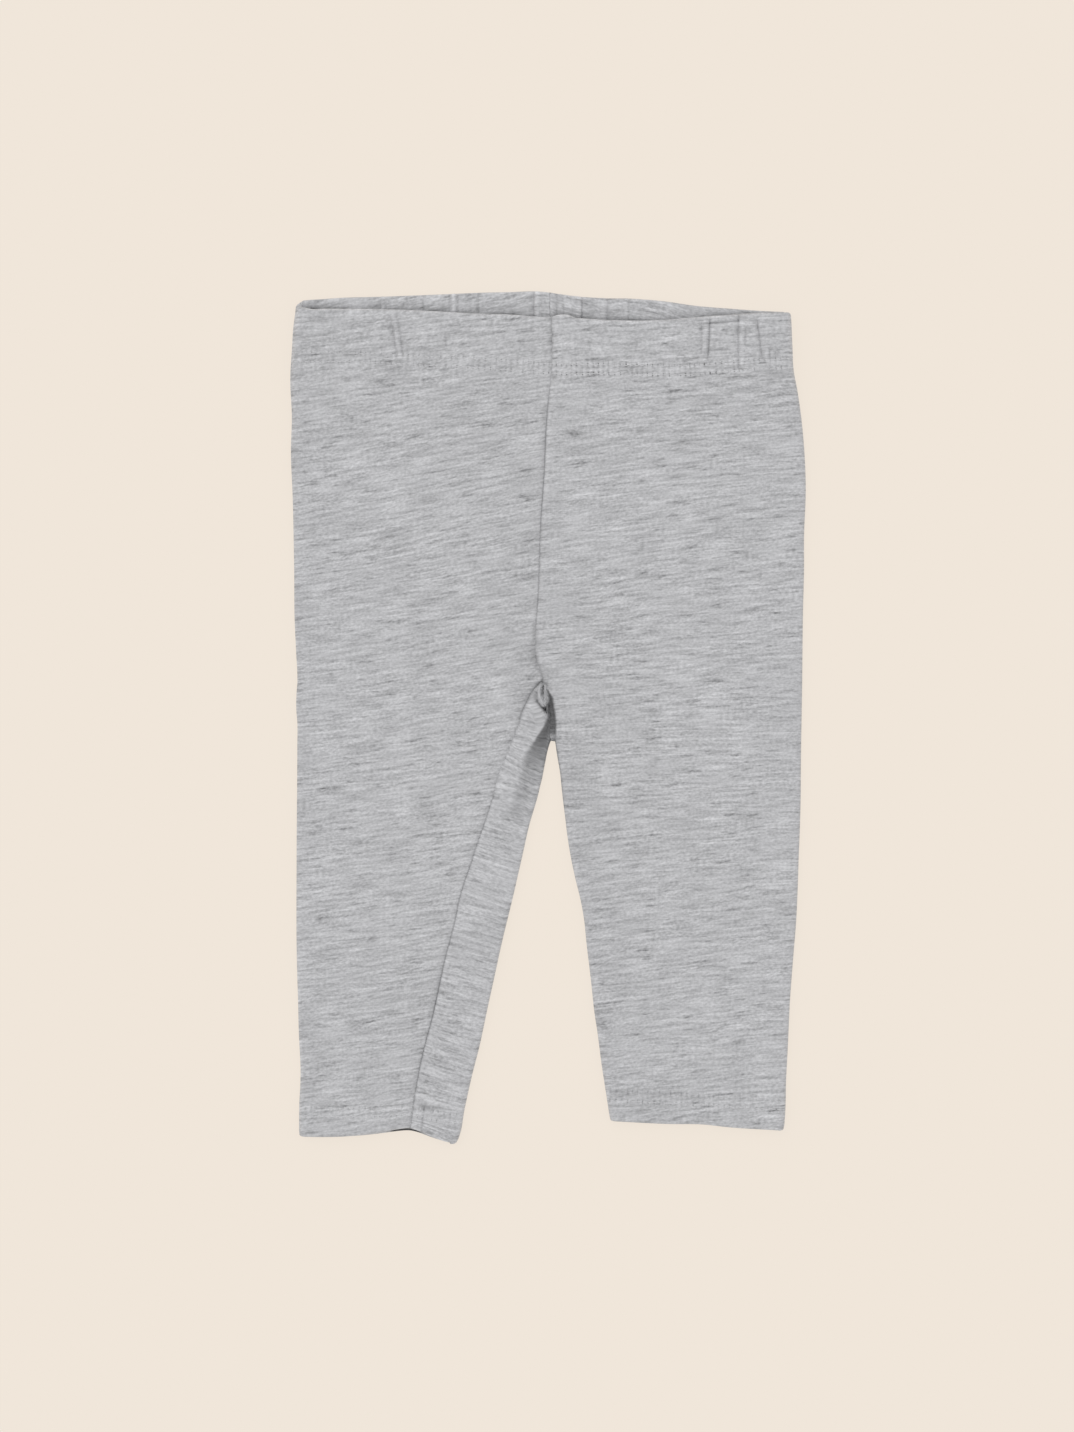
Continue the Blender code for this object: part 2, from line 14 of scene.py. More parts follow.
import bpy
import numpy as np
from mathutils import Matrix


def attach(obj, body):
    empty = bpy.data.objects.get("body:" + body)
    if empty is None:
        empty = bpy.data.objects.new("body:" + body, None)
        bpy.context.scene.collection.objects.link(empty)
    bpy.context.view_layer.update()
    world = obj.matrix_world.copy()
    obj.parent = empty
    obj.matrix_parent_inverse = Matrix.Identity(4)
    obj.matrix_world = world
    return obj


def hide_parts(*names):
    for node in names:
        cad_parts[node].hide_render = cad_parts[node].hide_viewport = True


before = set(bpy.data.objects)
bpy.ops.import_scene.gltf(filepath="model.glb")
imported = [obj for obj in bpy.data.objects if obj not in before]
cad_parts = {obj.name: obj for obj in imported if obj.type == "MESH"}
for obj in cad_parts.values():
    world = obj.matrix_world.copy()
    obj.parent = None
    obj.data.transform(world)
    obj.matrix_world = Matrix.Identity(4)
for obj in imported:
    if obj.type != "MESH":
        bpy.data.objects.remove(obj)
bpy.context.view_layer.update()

MM = 0.001

# ---------------------------------------------------------------- sizes, close to the part's source

CLOTH = 0.8  # one layer of jersey
CASING = 2.6  # two layers over the elastic
HEM = 1.8  # two layers, turned up
LEG_HEIGHT = 2.8  # over the table, of the front lying loosely on the back
CASING_HEIGHT = 6.0
HEM_HEIGHT = 4.1
HEM_DEPTH = 10.0  # from its stitch line to its lower edge
FADE_BELOW_CASING = 16.0  # how far the casing's and the hem's heights carry on into the leg
FADE_ABOVE_HEM = 8.0

KNOT_Y = 14.0  # where the centre front seam ends and the right inseam starts
SADDLE_Y = -9.4  # the lowest point of the seat, where the gap between the legs starts
CENTRE_BACK_X = 0.8
SWELL = 3.0  # how much higher the cloth stands round the crotch
SWELL_PLACE = (0.0, 3.0)
SWELL_SPREAD = (20.0, 26.0)
HOLLOW_FLOOR = 2.6  # height of the hollow's floor beside the knot
HOLLOW_TOP = (4.0, 12.0)  # between these heights of y it comes up to the front
SADDLE_TILT = 70.0  # degrees by which the right inner fold looks down the garment at the saddle
SADDLE_REACH = 0.09  # the share of the leg after which it looks straight across
SEAT_SHARE = 0.3  # the share of the strip's top edge after which it runs along the back seam
BACK_RISES_AT = 60.0  # from here up the left leg's rows climb to the back's higher casing
EDGE_RADIUS = 1.5  # of the left leg's inner edge

TURN = CLOTH / 2  # from a sheet's middle to its face
CASING_RADIUS = (CASING - CLOTH) / 2
CASING_EDGE = CASING / 2  # from the last flat row to the casing's top
HEM_RADIUS = (HEM - CLOTH) / 2
HEM_FLAT = 1 - HEM / 2 / HEM_DEPTH  # the share of the hem's depth above its turned edge

# Outlines of the garment as it lies, (y, x) from the waist down.
RIGHT_OUTER = (
    (170, -102.7), (164, -103.3), (160.5, -103.8), (150, -104.5), (138, -105.2), (123, -104.6),
    (109, -105.0), (90, -104.3), (60, -103.7), (40, -103.5), (27, -102.9), (14, -102.4),
    (9.5, -102.75), (3, -102.8), (-2, -102.4), (-12, -102.4), (-58, -102.7), (-99, -102.6),
    (-116, -102.1), (-132, -101.65), (-138, -101.3), (-142, -101.1), (-151, -101.2), (-156, -101.5),
    (-172, -101.65),
)
LEFT_OUTER = (
    (168, 98.8), (163, 99.2), (150, 99.8), (142, 100.2), (133, 101.9), (125, 103.1), (109, 104.7),
    (93, 105.3), (74, 104.6), (60, 104.6), (44, 104.2), (11, 103.8), (-20, 103.3), (-34, 103.2),
    (-48, 102.8), (-56, 102.45), (-66, 102.15), (-83, 101.4), (-99, 100.1), (-115, 98.9),
    (-132, 98.1), (-140, 97.7), (-148, 97.25), (-155, 97.1), (-161, 96.9), (-170, 96.2),
)
RIGHT_INNER = (
    (-9.4, 1.1), (-10.5, 0.6), (-12, 0.15), (-14, -0.35), (-17.6, -1.0), (-21, -1.65),
    (-24.4, -2.3), (-28, -3.2), (-31.3, -3.95), (-34.7, -4.9), (-42, -7.1), (-58, -10.8),
    (-75, -14.7), (-91, -18.6), (-107, -22.1), (-120.5, -25.05), (-127, -26.4), (-134, -27.9),
    (-138, -28.9), (-141, -29.7), (-150, -31.9), (-154.6, -32.9), (-161, -34.25), (-167, -35.15),
    (-168.3, -35.4), (-169.4, -35.75), (-170.5, -36.05), (-171.7, -36.45), (-172.8, -36.85),
    (-175, -37.4),
)
LEFT_INNER = (
    (11.5, -0.2), (10.9, 0.1), (10.3, 0.4), (9.7, 0.75), (9.2, 1.0), (8.6, 1.35), (7.8, 1.65),
    (6.9, 1.72), (5.7, 1.85), (4.6, 2.05), (3.5, 2.3), (2.3, 2.55), (0, 2.8), (-2.2, 2.93),
    (-4, 2.97), (-8, 2.9), (-9.4, 2.9), (-11, 3.1), (-14, 3.5), (-17.6, 4.1), (-21, 4.7),
    (-24, 5.1), (-29, 5.6), (-34, 6.15), (-38, 6.65), (-42, 7.15), (-46, 7.6), (-58, 9.5),
    (-66, 11.2), (-75, 13.4), (-83, 14.8), (-91, 15.6), (-107, 17.5), (-123, 19.3), (-127, 19.95),
    (-134, 20.9), (-140, 21.65), (-156, 24.1), (-164, 25.3),
)
# The centre front seam down to the knot, then the right leg's inseam, (y, x).
FRONT_SEAM = (
    (168, 1.5), (140, 1.3), (130, 0.0), (99, -1.6), (84, -2.9), (50, -4.2), (32, -5.1), (25, -4.8),
    (19.5, -3.2), (16.5, -2.2), (14, -3.0), (11.6, -5.7), (8, -7.8), (3, -10.2), (-2, -11.7),
    (-7, -13.6), (-14, -16.4), (-22, -19.8), (-34, -22.9), (-44, -26.2), (-58, -31.3), (-72, -36.0),
    (-87, -39.2), (-96, -41.6), (-123, -47.7), (-133, -50.5), (-152, -54.4), (-168, -56.7),
)
# Where the seat's cloth, turned to the front, starts to roll down into the hollow, (y, x).
ROLL = (
    (14, -1.3), (11.5, -0.6), (10, -0.75), (9.2, -0.45), (6, -0.35), (5, -0.6), (4.6, -1.3),
    (4.2, -2.2), (3.6, -2.6), (3, -2.3), (2.4, -1.8), (1.8, -0.9), (1, -0.45), (0, -0.55),
    (-0.8, -0.9), (-1.7, -1.25), (-2.8, -1.55), (-3.4, -1.8), (-4.2, -2.3), (-5, -2.7),
    (-6.2, -3.45), (-7.4, -4.35), (-8.3, -4.9), (-9.5, -5.45), (-10.8, -6.45), (-12, -7.2),
    (-13.5, -8.1), (-16.5, -9.3), (-20, -10.4), (-25, -11.0), (-30, -12.5), (-40, -15.0),
)
ROLL_WIDTH = ((14, 1.2), (3, 1.2), (-3, 1.8), (-8, 4.0), (-14, 7.0), (-40, 8.0))
ROLL_FADES = (-16.0, -44.0)
# Half the width of the painted shade's edge along that line, (y, width).
ROLL_SOFTNESS = (
    (14, 0.4), (9, 0.5), (4, 0.6), (2, 0.9), (0, 0.9), (-1.5, 0.5), (-3, 0.35), (-8.5, 0.45),
    (-13, 1.2), (-16, 1.6), (-19, 2.3), (-40, 2.8),
)
# The centre back seam where it comes up the hollow from the saddle to the knot, (y, x).
HOLLOW_SEAM = ((14, -3.0), (12.5, -1.5), (10.5, -0.3), (7, 0.5), (3, 0.8), (-11.6, 0.8))

# Edges of the casing, (x, y): its turned top and its stitched base, on the front and the back.
FRONT_TOP = (
    (-103, 167.4), (-101, 167.3), (-99, 167.1), (-97, 166.6), (-94, 166.4), (-92, 166.6),
    (-90, 166.6), (-75, 166.5), (-65, 166.4), (-51, 165.8), (-29, 164.7), (-15, 164.2), (-6, 163.5),
    (1.4, 163.4), (5, 164.2), (8, 164.1), (11, 163.0), (15, 162.6), (23, 162.1), (34, 161.8),
    (46, 162.0), (61, 163.2), (71, 163.9), (84, 164.8), (98, 165.1),
)
BACK_TOP = (
    (-103, 169.0), (-100, 170.35), (-97, 170.65), (-92, 170.9), (-88, 171.25), (-68, 171.9),
    (-40, 173.0), (-26, 173.6), (-15, 173.8), (-5, 174.1), (0, 173.7), (8, 172.5), (23, 171.3),
    (34, 171.1), (46, 170.2), (61, 168.1), (76, 166.9), (87, 166.1), (98, 165.6),
)
FRONT_BASE = (
    (-105, 144.3), (-90, 144.6), (-76, 144.4), (-62, 143.8), (-48, 143.0), (-34, 142.4),
    (-20, 141.4), (-6, 140.3), (6, 139.6), (22, 139.7), (36, 139.4), (50, 139.1), (64, 139.7),
    (78, 141.1), (92, 141.9), (102, 142.4),
)
BACK_BASE = (
    (-105, 144.3), (-90, 146.4), (-68, 149.3), (-5, 151.5), (34, 149.0), (61, 146.0), (90, 143.0),
    (102, 142.4),
)

# ---------------------------------------------------------------- sizes of the looks alone

# Slope of the knit's courses in degrees, by the distance across the cut from the outer fold:
# negative over the front, positive over the back and round to the strip.
RIGHT_COURSES = ((-112, 10.0), (-60, 10.0), (0, 7.0), (50, 9.0), (110, 12.0), (160, 12.0))
LEFT_COURSES = ((-112, 5.0), (-50, 4.5), (0, 3.0), (60, 2.0), (112, 2.0))
# And the share of that slope by height.
RIGHT_SLOPES = ((-170, 1.0), (-60, 0.85), (40, 0.95), (80, 1.15), (120, 0.95), (170, 0.7))
LEFT_SLOPES = ((-160, 1.3), (-60, 1.3), (-10, 0.5), (20, 1.0), (60, 1.5), (110, 1.45), (170, 0.6))

# How strongly the front's seams sink in, (y, share), the centre front first and then the inseam.
SEAM_STRENGTH = (
    (168, 0.75), (150, 0.75), (143, 0.35), (138, 0.4), (132, 0.7), (128, 0.75), (120, 1.1),
    (114, 1.4), (105, 1.2), (92, 1.1), (85, 1.0), (71, 0.65), (57, 0.75), (48, 0.8), (28, 0.7),
    (18, 0.7), (13, 1.1), (9, 1.1), (5, 1.1), (0, 0.85), (-5, 0.5), (-14, 0.42), (-21, 0.3),
    (-28, 0.55), (-33, 0.85), (-48, 1.0), (-61, 1.0), (-75, 0.9), (-89, 1.05), (-103, 1.3),
    (-110, 1.5), (-117, 1.75), (-124, 1.4), (-131, 1.15), (-145, 1.1), (-158, 0.95), (-168, 0.9),
)
# How much wider than elsewhere.
SEAM_SPREAD = (
    (168, 1.9), (148, 1.8), (140, 1.5), (134, 1.0), (45, 1.0), (38, 1.5), (30, 3.0), (20, 2.4),
    (15, 1.5), (10, 1.4), (4, 1.4), (-3, 1.6), (-8, 2.2), (-22, 2.0), (-30, 1.3), (-36, 1.0),
)
# And how far their lowest line lies to the left of the cut's edge.
SEAM_AT = (
    (168, -0.1), (150, -0.25), (142, -0.1), (130, 0.45), (120, 0.2), (114, 0.05), (100, 0.05),
    (85, 0.3), (71, 0.45), (57, 0.4), (42, 0.2), (34, 0.0), (28, -0.25), (18, -0.1), (5, 0.1),
    (-8, -0.15), (-21, 0.2), (-35, 0.05), (-48, 0.05), (-61, 0.5), (-75, 0.5), (-89, 0.3),
    (-117, 0.3), (-131, 0.55), (-145, 0.45), (-158, 0.55),
)
# Painted shade of the seat's cloth once it has rolled down between the legs, (y, share).
HOLLOW_SHADE = (
    (13, 0.0), (12, 0.15), (11.2, 0.45), (10, 0.57), (6, 0.58), (0, 0.62), (-2.5, 0.64),
    (-7.5, 0.65), (-9.5, 0.61), (-11, 0.57), (-13, 0.51), (-18, 0.39), (-24, 0.29), (-32, 0.23),
    (-42, 0.11), (-50, 0.0),
)
FOLD_LIGHT = 0.75  # the share of it that is gone again at the leg's inner fold
FOLD_LIT = (-15.0, -27.0)
SADDLE_LIGHT = 0.6  # and at the saddle, where the hollow opens to the light
SADDLE_LIT = (-4.5, -9.0)

# Creases of the front: points (x, y) from the top down, how far the cloth sinks (or stands up, when
# negative), half its width, and how much painted shade lies along its bottom (painted light along its
# top, when negative).
Crease = namedtuple("Crease", "points depth width shade")
FRONT_CREASES = (
    Crease(((-63.2, 165), (-62.0, 158.9), (-61.2, 155.3), (-60.4, 146.5)), -0.50, 0.55, -0.09),
    Crease(((-64.6, 165), (-63.4, 158.9), (-62.6, 155.3), (-61.8, 146.5)), 0.40, 0.6, 0.15),
    Crease(((-61.9, 165), (-60.7, 158.9), (-59.9, 155.3), (-59.1, 146.5)), 0.35, 0.6, 0.12),
    Crease(((-41.6, 156.5), (-41.6, 149.5)), 0.35, 0.7, 0.12),
    Crease(((62.7, 162.5), (62.5, 148.5)), 0.40, 0.6, 0.15),
    Crease(((64.2, 162.5), (63.9, 148.5)), -0.45, 0.55, -0.09),
    Crease(((65.9, 163.0), (65.6, 151.2), (64.8, 145.0)), 0.75, 0.6, 0.26),
    Crease(((67.4, 163.0), (66.9, 151.2), (66.1, 147.0)), -0.20, 0.7, -0.02),
    Crease(((77.5, 166.0), (77.5, 154.0), (77.6, 141.5)), 0.65, 0.6, 0.18),
    Crease(((79.1, 166.0), (79.2, 142.5)), -0.45, 0.6, -0.08),
    Crease(((80.4, 159.0), (80.4, 151.0)), 0.35, 0.6, 0.12),
    Crease(((85.1, 162.8), (85.9, 156.1), (86.7, 149.9), (87.3, 145.8)), 0.75, 0.6, 0.24),
    Crease(((88.9, 151.5), (88.9, 145.0)), -0.45, 0.8, -0.09),
    Crease(((90.3, 151.0), (90.3, 145.6)), 0.45, 0.6, 0.14),
    Crease(((92.7, 151.0), (92.7, 145.6)), 0.40, 0.6, 0.13),
    Crease(((91.0, 144.0), (90.2, 129.0)), 0.40, 1.3, 0.07),
)
# Soft shallow dips and swells where the cloth does not lie quite flat: centre (x, y), how far they
# reach across and along, how deep they are and how much painted shade lies in them (painted light on a
# swell, when negative).
Dip = namedtuple("Dip", "x y across along depth shade")
DIPS = (
    Dip(-9, 12, 8, 17, 0.30, 0.095),
    Dip(-8, 62, 13, 42, 0.20, 0.025),
    Dip(9, 14, 9, 12, 0.20, 0.035),
    Dip(12, -26, 9, 20, 0.15, 0.040),
    Dip(13, -60, 10, 26, 0.25, 0.045),
    Dip(26, -112, 11, 34, 0.25, 0.035),
    Dip(38, -158, 17, 13, 0.25, 0.050),
    Dip(70, -160, 20, 9, 0.15, 0.015),
    Dip(-98, -140, 8, 26, 0.20, 0.055),
    Dip(-48, -118, 13, 24, 0.20, 0.030),
    Dip(-75, -105, 14, 16, 0.15, 0.015),
    Dip(-98, 152, 12, 14, 0.20, 0.055),
    Dip(-86, 126, 16, 9, 0.20, 0.015),
    Dip(-30, 128, 20, 10, 0.15, 0.020),
    Dip(-76, 105, 12, 12, -0.20, -0.025),
    Dip(-93, -68, 9, 16, -0.20, -0.022),
    Dip(53, 74, 13, 40, -0.25, -0.022),
    Dip(54, 4, 12, 18, -0.25, -0.022),
    Dip(62, 48, 9, 60, 0.12, 0.0),
    Dip(-66, 30, 18, 40, -0.20, -0.006),
    Dip(80, -70, 14, 40, -0.20, -0.006),
)
# Folds that run any way, with the same measures: round the knot of the seams, over the front and
# the strip, and along the rolled lip of the casing.
FOLDS = (
    Crease(((-4.8, 10.2), (-4.85, 8.8), (-4.6, 7.3)), 0.5, 1.0, 0.28),
    Crease(((-4.2, 6.5), (-3.8, 5.8), (-3.4, 5.2), (-2.9, 4.6), (-2.4, 4.1)), 0.9, 0.75, 0.66),
    Crease(((-2.3, 3.9), (-1.8, 3.4)), 0.4, 0.7, 0.25),
    Crease(((-1.1, 2.3), (-1.1, 0.1)), 0.1, 0.8, 0.17),
    Crease(((-4.9, 12.6), (-4.0, 14.1), (-2.7, 14.8), (-1.2, 14.2), (-0.2, 12.8)), 0.4, 0.7, 0.42),
    Crease(((-2.05, 12.7), (-2.05, 11.5), (-2.05, 9.4)), 1.3, 0.57, 0.88),
    Crease(((-2.0, 14.3), (-2.0, 13.6)), 0.6, 0.6, 0.18),
    Crease(((-1.8, 8.7), (-1.6, 7.9)), 0.5, 0.6, 0.22),
    Crease(((-6.2, 17.6), (-4.6, 20.0), (-4.4, 24.0)), 0.2, 1.0, 0.09),
    Crease(
        ((66.1, 160.7), (70.5, 160.75), (72.5, 161.0), (75.5, 161.4), (78, 161.6)), 0.45, 0.5, 0.32
    ),
    Crease(((66.6, 162.2), (72, 162.3), (77.6, 162.8)), -0.30, 0.5, -0.09),
)
# The little loop of cloth that stands out at the knot: (x, y, radius, painted shade).
TUCK = (
    (-2.8, 14.2, 0.40, 0.14), (-3.4, 12.4, 0.56, 0.13), (-3.65, 10.6, 0.62, 0.14),
    (-3.5, 8.9, 0.68, 0.03), (-3.0, 7.2, 0.76, 0.02), (-2.0, 6.1, 0.74, 0.02),
    (-1.25, 6.7, 0.60, 0.12), (-1.0, 8.3, 0.50, 0.15), (-1.12, 10.3, 0.40, 0.12),
    (-1.1, 12.3, 0.38, 0.12), (-1.3, 14.0, 0.36, 0.14),
)
# Creases of the casing's inside on the back, (x, depth, half width, painted shade, which is painted
# light when negative).
BackCrease = namedtuple("BackCrease", "x depth width shade")
BACK_CREASES = (
    BackCrease(-67.6, -0.55, 0.5, -0.27),
    BackCrease(-68.5, 0.50, 0.5, 0.27),
    BackCrease(-66.3, 0.20, 0.4, 0.04),
    BackCrease(-51.0, 0.45, 0.45, 0.14),
    BackCrease(-40.0, 0.35, 0.5, 0.16),
    BackCrease(-38.4, -0.50, 0.55, -0.27),
    BackCrease(-36.9, 0.35, 0.4, 0.12),
    BackCrease(-28.4, 0.45, 0.6, 0.22),
    BackCrease(-14.0, 0.25, 0.9, 0.08),
    BackCrease(-5.7, 0.50, 0.45, 0.13),
    BackCrease(-4.3, -0.50, 0.6, -0.33),
    BackCrease(1.0, 0.10, 1.8, -0.07),
    BackCrease(3.5, 0.50, 0.7, 0.19),
    BackCrease(5.3, -0.25, 0.5, -0.05),
    BackCrease(7.3, -0.50, 0.55, -0.22),
    BackCrease(12.6, -0.40, 0.5, -0.09),
    BackCrease(13.8, 0.50, 0.5, 0.24),
    BackCrease(17.6, 0.20, 2.2, 0.09),
    BackCrease(22.7, -0.25, 0.55, -0.04),
    BackCrease(24.2, 0.40, 0.5, 0.19),
    BackCrease(31.8, -0.50, 0.55, -0.26),
    BackCrease(33.2, 0.10, 0.5, -0.06),
)

STITCH = 2.2  # from one stitch to the next
# How plainly the stitches show across the garment, (x, share).
STITCH_SHOW = (
    (-104, 0.5), (-60, 0.8), (-30, 1.1), (-2, 1.2), (2, 1.3), (20, 1.6), (45, 1.55), (75, 1.1),
    (104, 0.7),
)
HEM_STITCH_SHOW = 0.75
CASING_NEEDLES = (0.4, 4.1)  # the coverstitch's two rows, up from the casing's base
RIGHT_HEM_NEEDLES = (-1.2, 2.0)  # and up from the hem's stitch line
LEFT_HEM_NEEDLES = (-1.4, 2.4)


def mix(a, b, share):
    return a + (b - a) * share


def ramp(x, start, end):
    """0 before start, 1 past end and smooth between them."""
    t = np.clip((x - start) / (end - start), 0.0, 1.0)
    return t * t * (3 - 2 * t)


def bell(x, centre, width):
    """1 at the centre, falling to almost nothing at twice the width."""
    return np.exp(-(((x - centre) / width) ** 2))


def smooth(table):
    """A smooth curve through the rows of a table, as a function of their first column."""
    at, value = np.array(sorted(table), float).T
    slope = np.gradient(value, at)

    def read(place):
        place = np.clip(place, at[0], at[-1])
        i = np.clip(np.searchsorted(at, place, side="right") - 1, 0, len(at) - 2)
        step = at[i + 1] - at[i]
        t = (place - at[i]) / step
        return (
            (2 * t**3 - 3 * t**2 + 1) * value[i]
            + (t**3 - 2 * t**2 + t) * step * slope[i]
            + (3 * t**2 - 2 * t**3) * value[i + 1]
            + (t**3 - t**2) * step * slope[i + 1]
        )

    return read


def straight(table):
    """Straight lines through the rows of a table, as a function of their first column."""
    at, value = np.array(sorted(table), float).T
    return lambda place: np.interp(place, at, value)


front_seam, hollow_seam, left_inner = smooth(FRONT_SEAM), smooth(HOLLOW_SEAM), smooth(LEFT_INNER)
seam_strength, seam_spread = straight(SEAM_STRENGTH), straight(SEAM_SPREAD)
seam_at = straight(SEAM_AT)
roll, roll_width, roll_softness = smooth(ROLL), smooth(ROLL_WIDTH), straight(ROLL_SOFTNESS)
hollow_shade = smooth(HOLLOW_SHADE)
front_top, back_top = smooth(FRONT_TOP), smooth(BACK_TOP)
front_base, back_base = smooth(FRONT_BASE), smooth(BACK_BASE)
stitch_show = straight(STITCH_SHOW)

# A hem: a point of its edge and the edge's slope, the arch in it (its middle, height, reach and
# sharpness to the outside and the inside of the leg, and its share on the back) and needle rows.
Hem = namedtuple("Hem", "x y slope arch_x arch_up arch_out arch_in sharp_out sharp_in on_back needles")
# Heights at which a leg's foot line, outer fold and inner fold are read to find where they cross
# a line of the hem.
Crossings = namedtuple("Crossings", "foot outer inner")
# foot is the line that the sheet's first edge follows down to the hem.
Leg = namedtuple("Leg", "name side outer inner foot hem at_stitches at_edge courses slopes cut_at")
RIGHT = Leg(
    name="right",
    side=-1,
    outer=smooth(RIGHT_OUTER),
    inner=smooth(RIGHT_INNER),
    foot=front_seam,
    hem=Hem(
        x=-100.4, y=-171.2, slope=-0.0458, arch_x=-57.0, arch_up=5.95, arch_out=18.5, arch_in=11.0,
        sharp_out=1.5, sharp_in=1.9, on_back=0.80, needles=RIGHT_HEM_NEEDLES,
    ),
    at_stitches=Crossings(-160, -160, -163),
    at_edge=Crossings(-164, -164, -167),
    courses=RIGHT_COURSES,
    slopes=smooth(RIGHT_SLOPES),
    cut_at=0,
)
LEFT = Leg(
    name="left",
    side=1,
    outer=smooth(LEFT_OUTER),
    inner=left_inner,
    foot=left_inner,
    hem=Hem(
        x=29.4, y=-164.9, slope=-0.055, arch_x=62.5, arch_up=0.75, arch_out=10.0, arch_in=9.0,
        sharp_out=2.0, sharp_in=2.0, on_back=1.0, needles=LEFT_HEM_NEEDLES,
    ),
    at_stitches=Crossings(-155, -160, -155),
    at_edge=Crossings(-160, -164, -160),
    courses=LEFT_COURSES,
    slopes=smooth(LEFT_SLOPES),
    cut_at=500,
)
ARCH_AT_STITCH = 0.35


def hem_line(leg, x, t, share=1.0):
    """The hem's stitch line at t = 0 and its lower edge at t = 1, with this share of its arch."""
    hem = leg.hem
    out = x < hem.arch_x
    away = np.abs(x - hem.arch_x) / np.where(out, hem.arch_out, hem.arch_in)
    arch = np.exp(-(away ** np.where(out, hem.sharp_out, hem.sharp_in)))
    arch = hem.arch_up * arch * mix(ARCH_AT_STITCH, share, t)
    return hem.y + hem.slope * (x - hem.x) + HEM_DEPTH * (1 - t) + arch


def height(leg, x, y):
    """The front layer's outer face over the table."""
    swell = bell(x, SWELL_PLACE[0], SWELL_SPREAD[0]) * bell(y, SWELL_PLACE[1], SWELL_SPREAD[1])
    below_casing = np.maximum(0.0, front_base(x) - y)
    above_hem = np.maximum(0.0, y - hem_line(leg, x, 0))
    return (
        LEG_HEIGHT
        + SWELL * swell
        + (CASING_HEIGHT - LEG_HEIGHT) * np.exp(-below_casing / FADE_BELOW_CASING)
        + (HEM_HEIGHT - LEG_HEIGHT) * np.exp(-above_hem / FADE_ABOVE_HEM)
    )


def floor_height(x, y):
    """The floor of the hollow beside the knot, which is the seat's outer face."""
    return mix(HOLLOW_FLOOR, height(RIGHT, x, y), ramp(y, *HOLLOW_TOP))


def strip_height(x, y):
    """The seat's cloth on the right leg's front, which rolls down into the hollow."""
    down = ramp(x, roll(y), roll(y) + roll_width(y)) * ramp(y, ROLL_FADES[1], ROLL_FADES[0])
    return mix(height(RIGHT, x, y), floor_height(x, y), down)


# ---------------------------------------------------------------- relief of the faces

SEAM_DEPTH = 0.5
SEAM_WIDTH = 0.52
SEAM_RIDGE = 0.2
# Painted shade along a seam's lowest line.
SEAM_SHADE = 0.29
SEAM_WIDE_SHADE = 0.07  # painted shade, fainter and wider, beside it
SEAM_LIGHT = 0.035  # painted light on the panel that lies over the other
NEEDLE_DEPTH = 0.1
NEEDLE_WIDTH = 0.5
CREASE_FADES = (1.5, 2.5)  # how far past its end and before it a crease fades
ALLOWANCE = 4.9  # width of the seam allowance that shows through the hem
ALLOWANCE_RISE = 0.35
ALLOWANCE_SHADE, ALLOWANCE_LIGHT = 0.24, 0.05  # painted shade along its edge and painted light on it
FAR_OFF = 1000.0  # farther than a seam's relief reaches
BACK_CREASE_SHADE = 0.6  # the share of its shade that a back crease has on the casing's outside
SADDLE_SHADE = 0.5  # painted shade on the back at the saddle, where the seams cross


def seam_relief(off, y):
    """Rise and painted shade beside a seam, off to its left or right."""
    strength, wider, at = seam_strength(y), seam_spread(y), seam_at(y)
    rise = SEAM_RIDGE * bell(off, 1.4, 1.0) - SEAM_DEPTH * bell(off, at, SEAM_WIDTH * wider)
    shade = SEAM_SHADE * bell(off, at, 0.45 * wider) + SEAM_WIDE_SHADE * bell(off, at - 1.0, 0.9 * wider)
    return rise * strength, (shade - SEAM_LIGHT * bell(off, at + 1.3, 0.7)) * strength


def beside(points, x, y):
    """How far each place lies from a line through some points."""
    least = np.full(np.shape(x), 1e9)
    for (x0, y0), (x1, y1) in zip(points, points[1:]):
        dx, dy = x1 - x0, y1 - y0
        share = np.clip(((x - x0) * dx + (y - y0) * dy) / (dx * dx + dy * dy), 0.0, 1.0)
        least = np.minimum(least, np.hypot(x - x0 - share * dx, y - y0 - share * dy))
    return least


def creases_of(leg):
    """The creases of this leg's front, with the x and y of their points from the bottom up."""
    for crease in FRONT_CREASES:
        xs, ys = np.array(crease.points[::-1], float).T
        if leg.side * xs.mean() > 0:
            yield crease, xs, ys


def stitched(up, needles):
    """How near a place is to two needle rows, and to the puckers between them."""
    near = bell(up, needles[0], NEEDLE_WIDTH) + bell(up, needles[1], NEEDLE_WIDTH)
    between = ramp(up, needles[0] - 0.6, needles[0] + 0.6)
    between = between * (1 - ramp(up, needles[1] - 0.6, needles[1] + 0.6))
    return near, between * (1 - 0.5 * bell(up, sum(needles) / 2, 1.1))


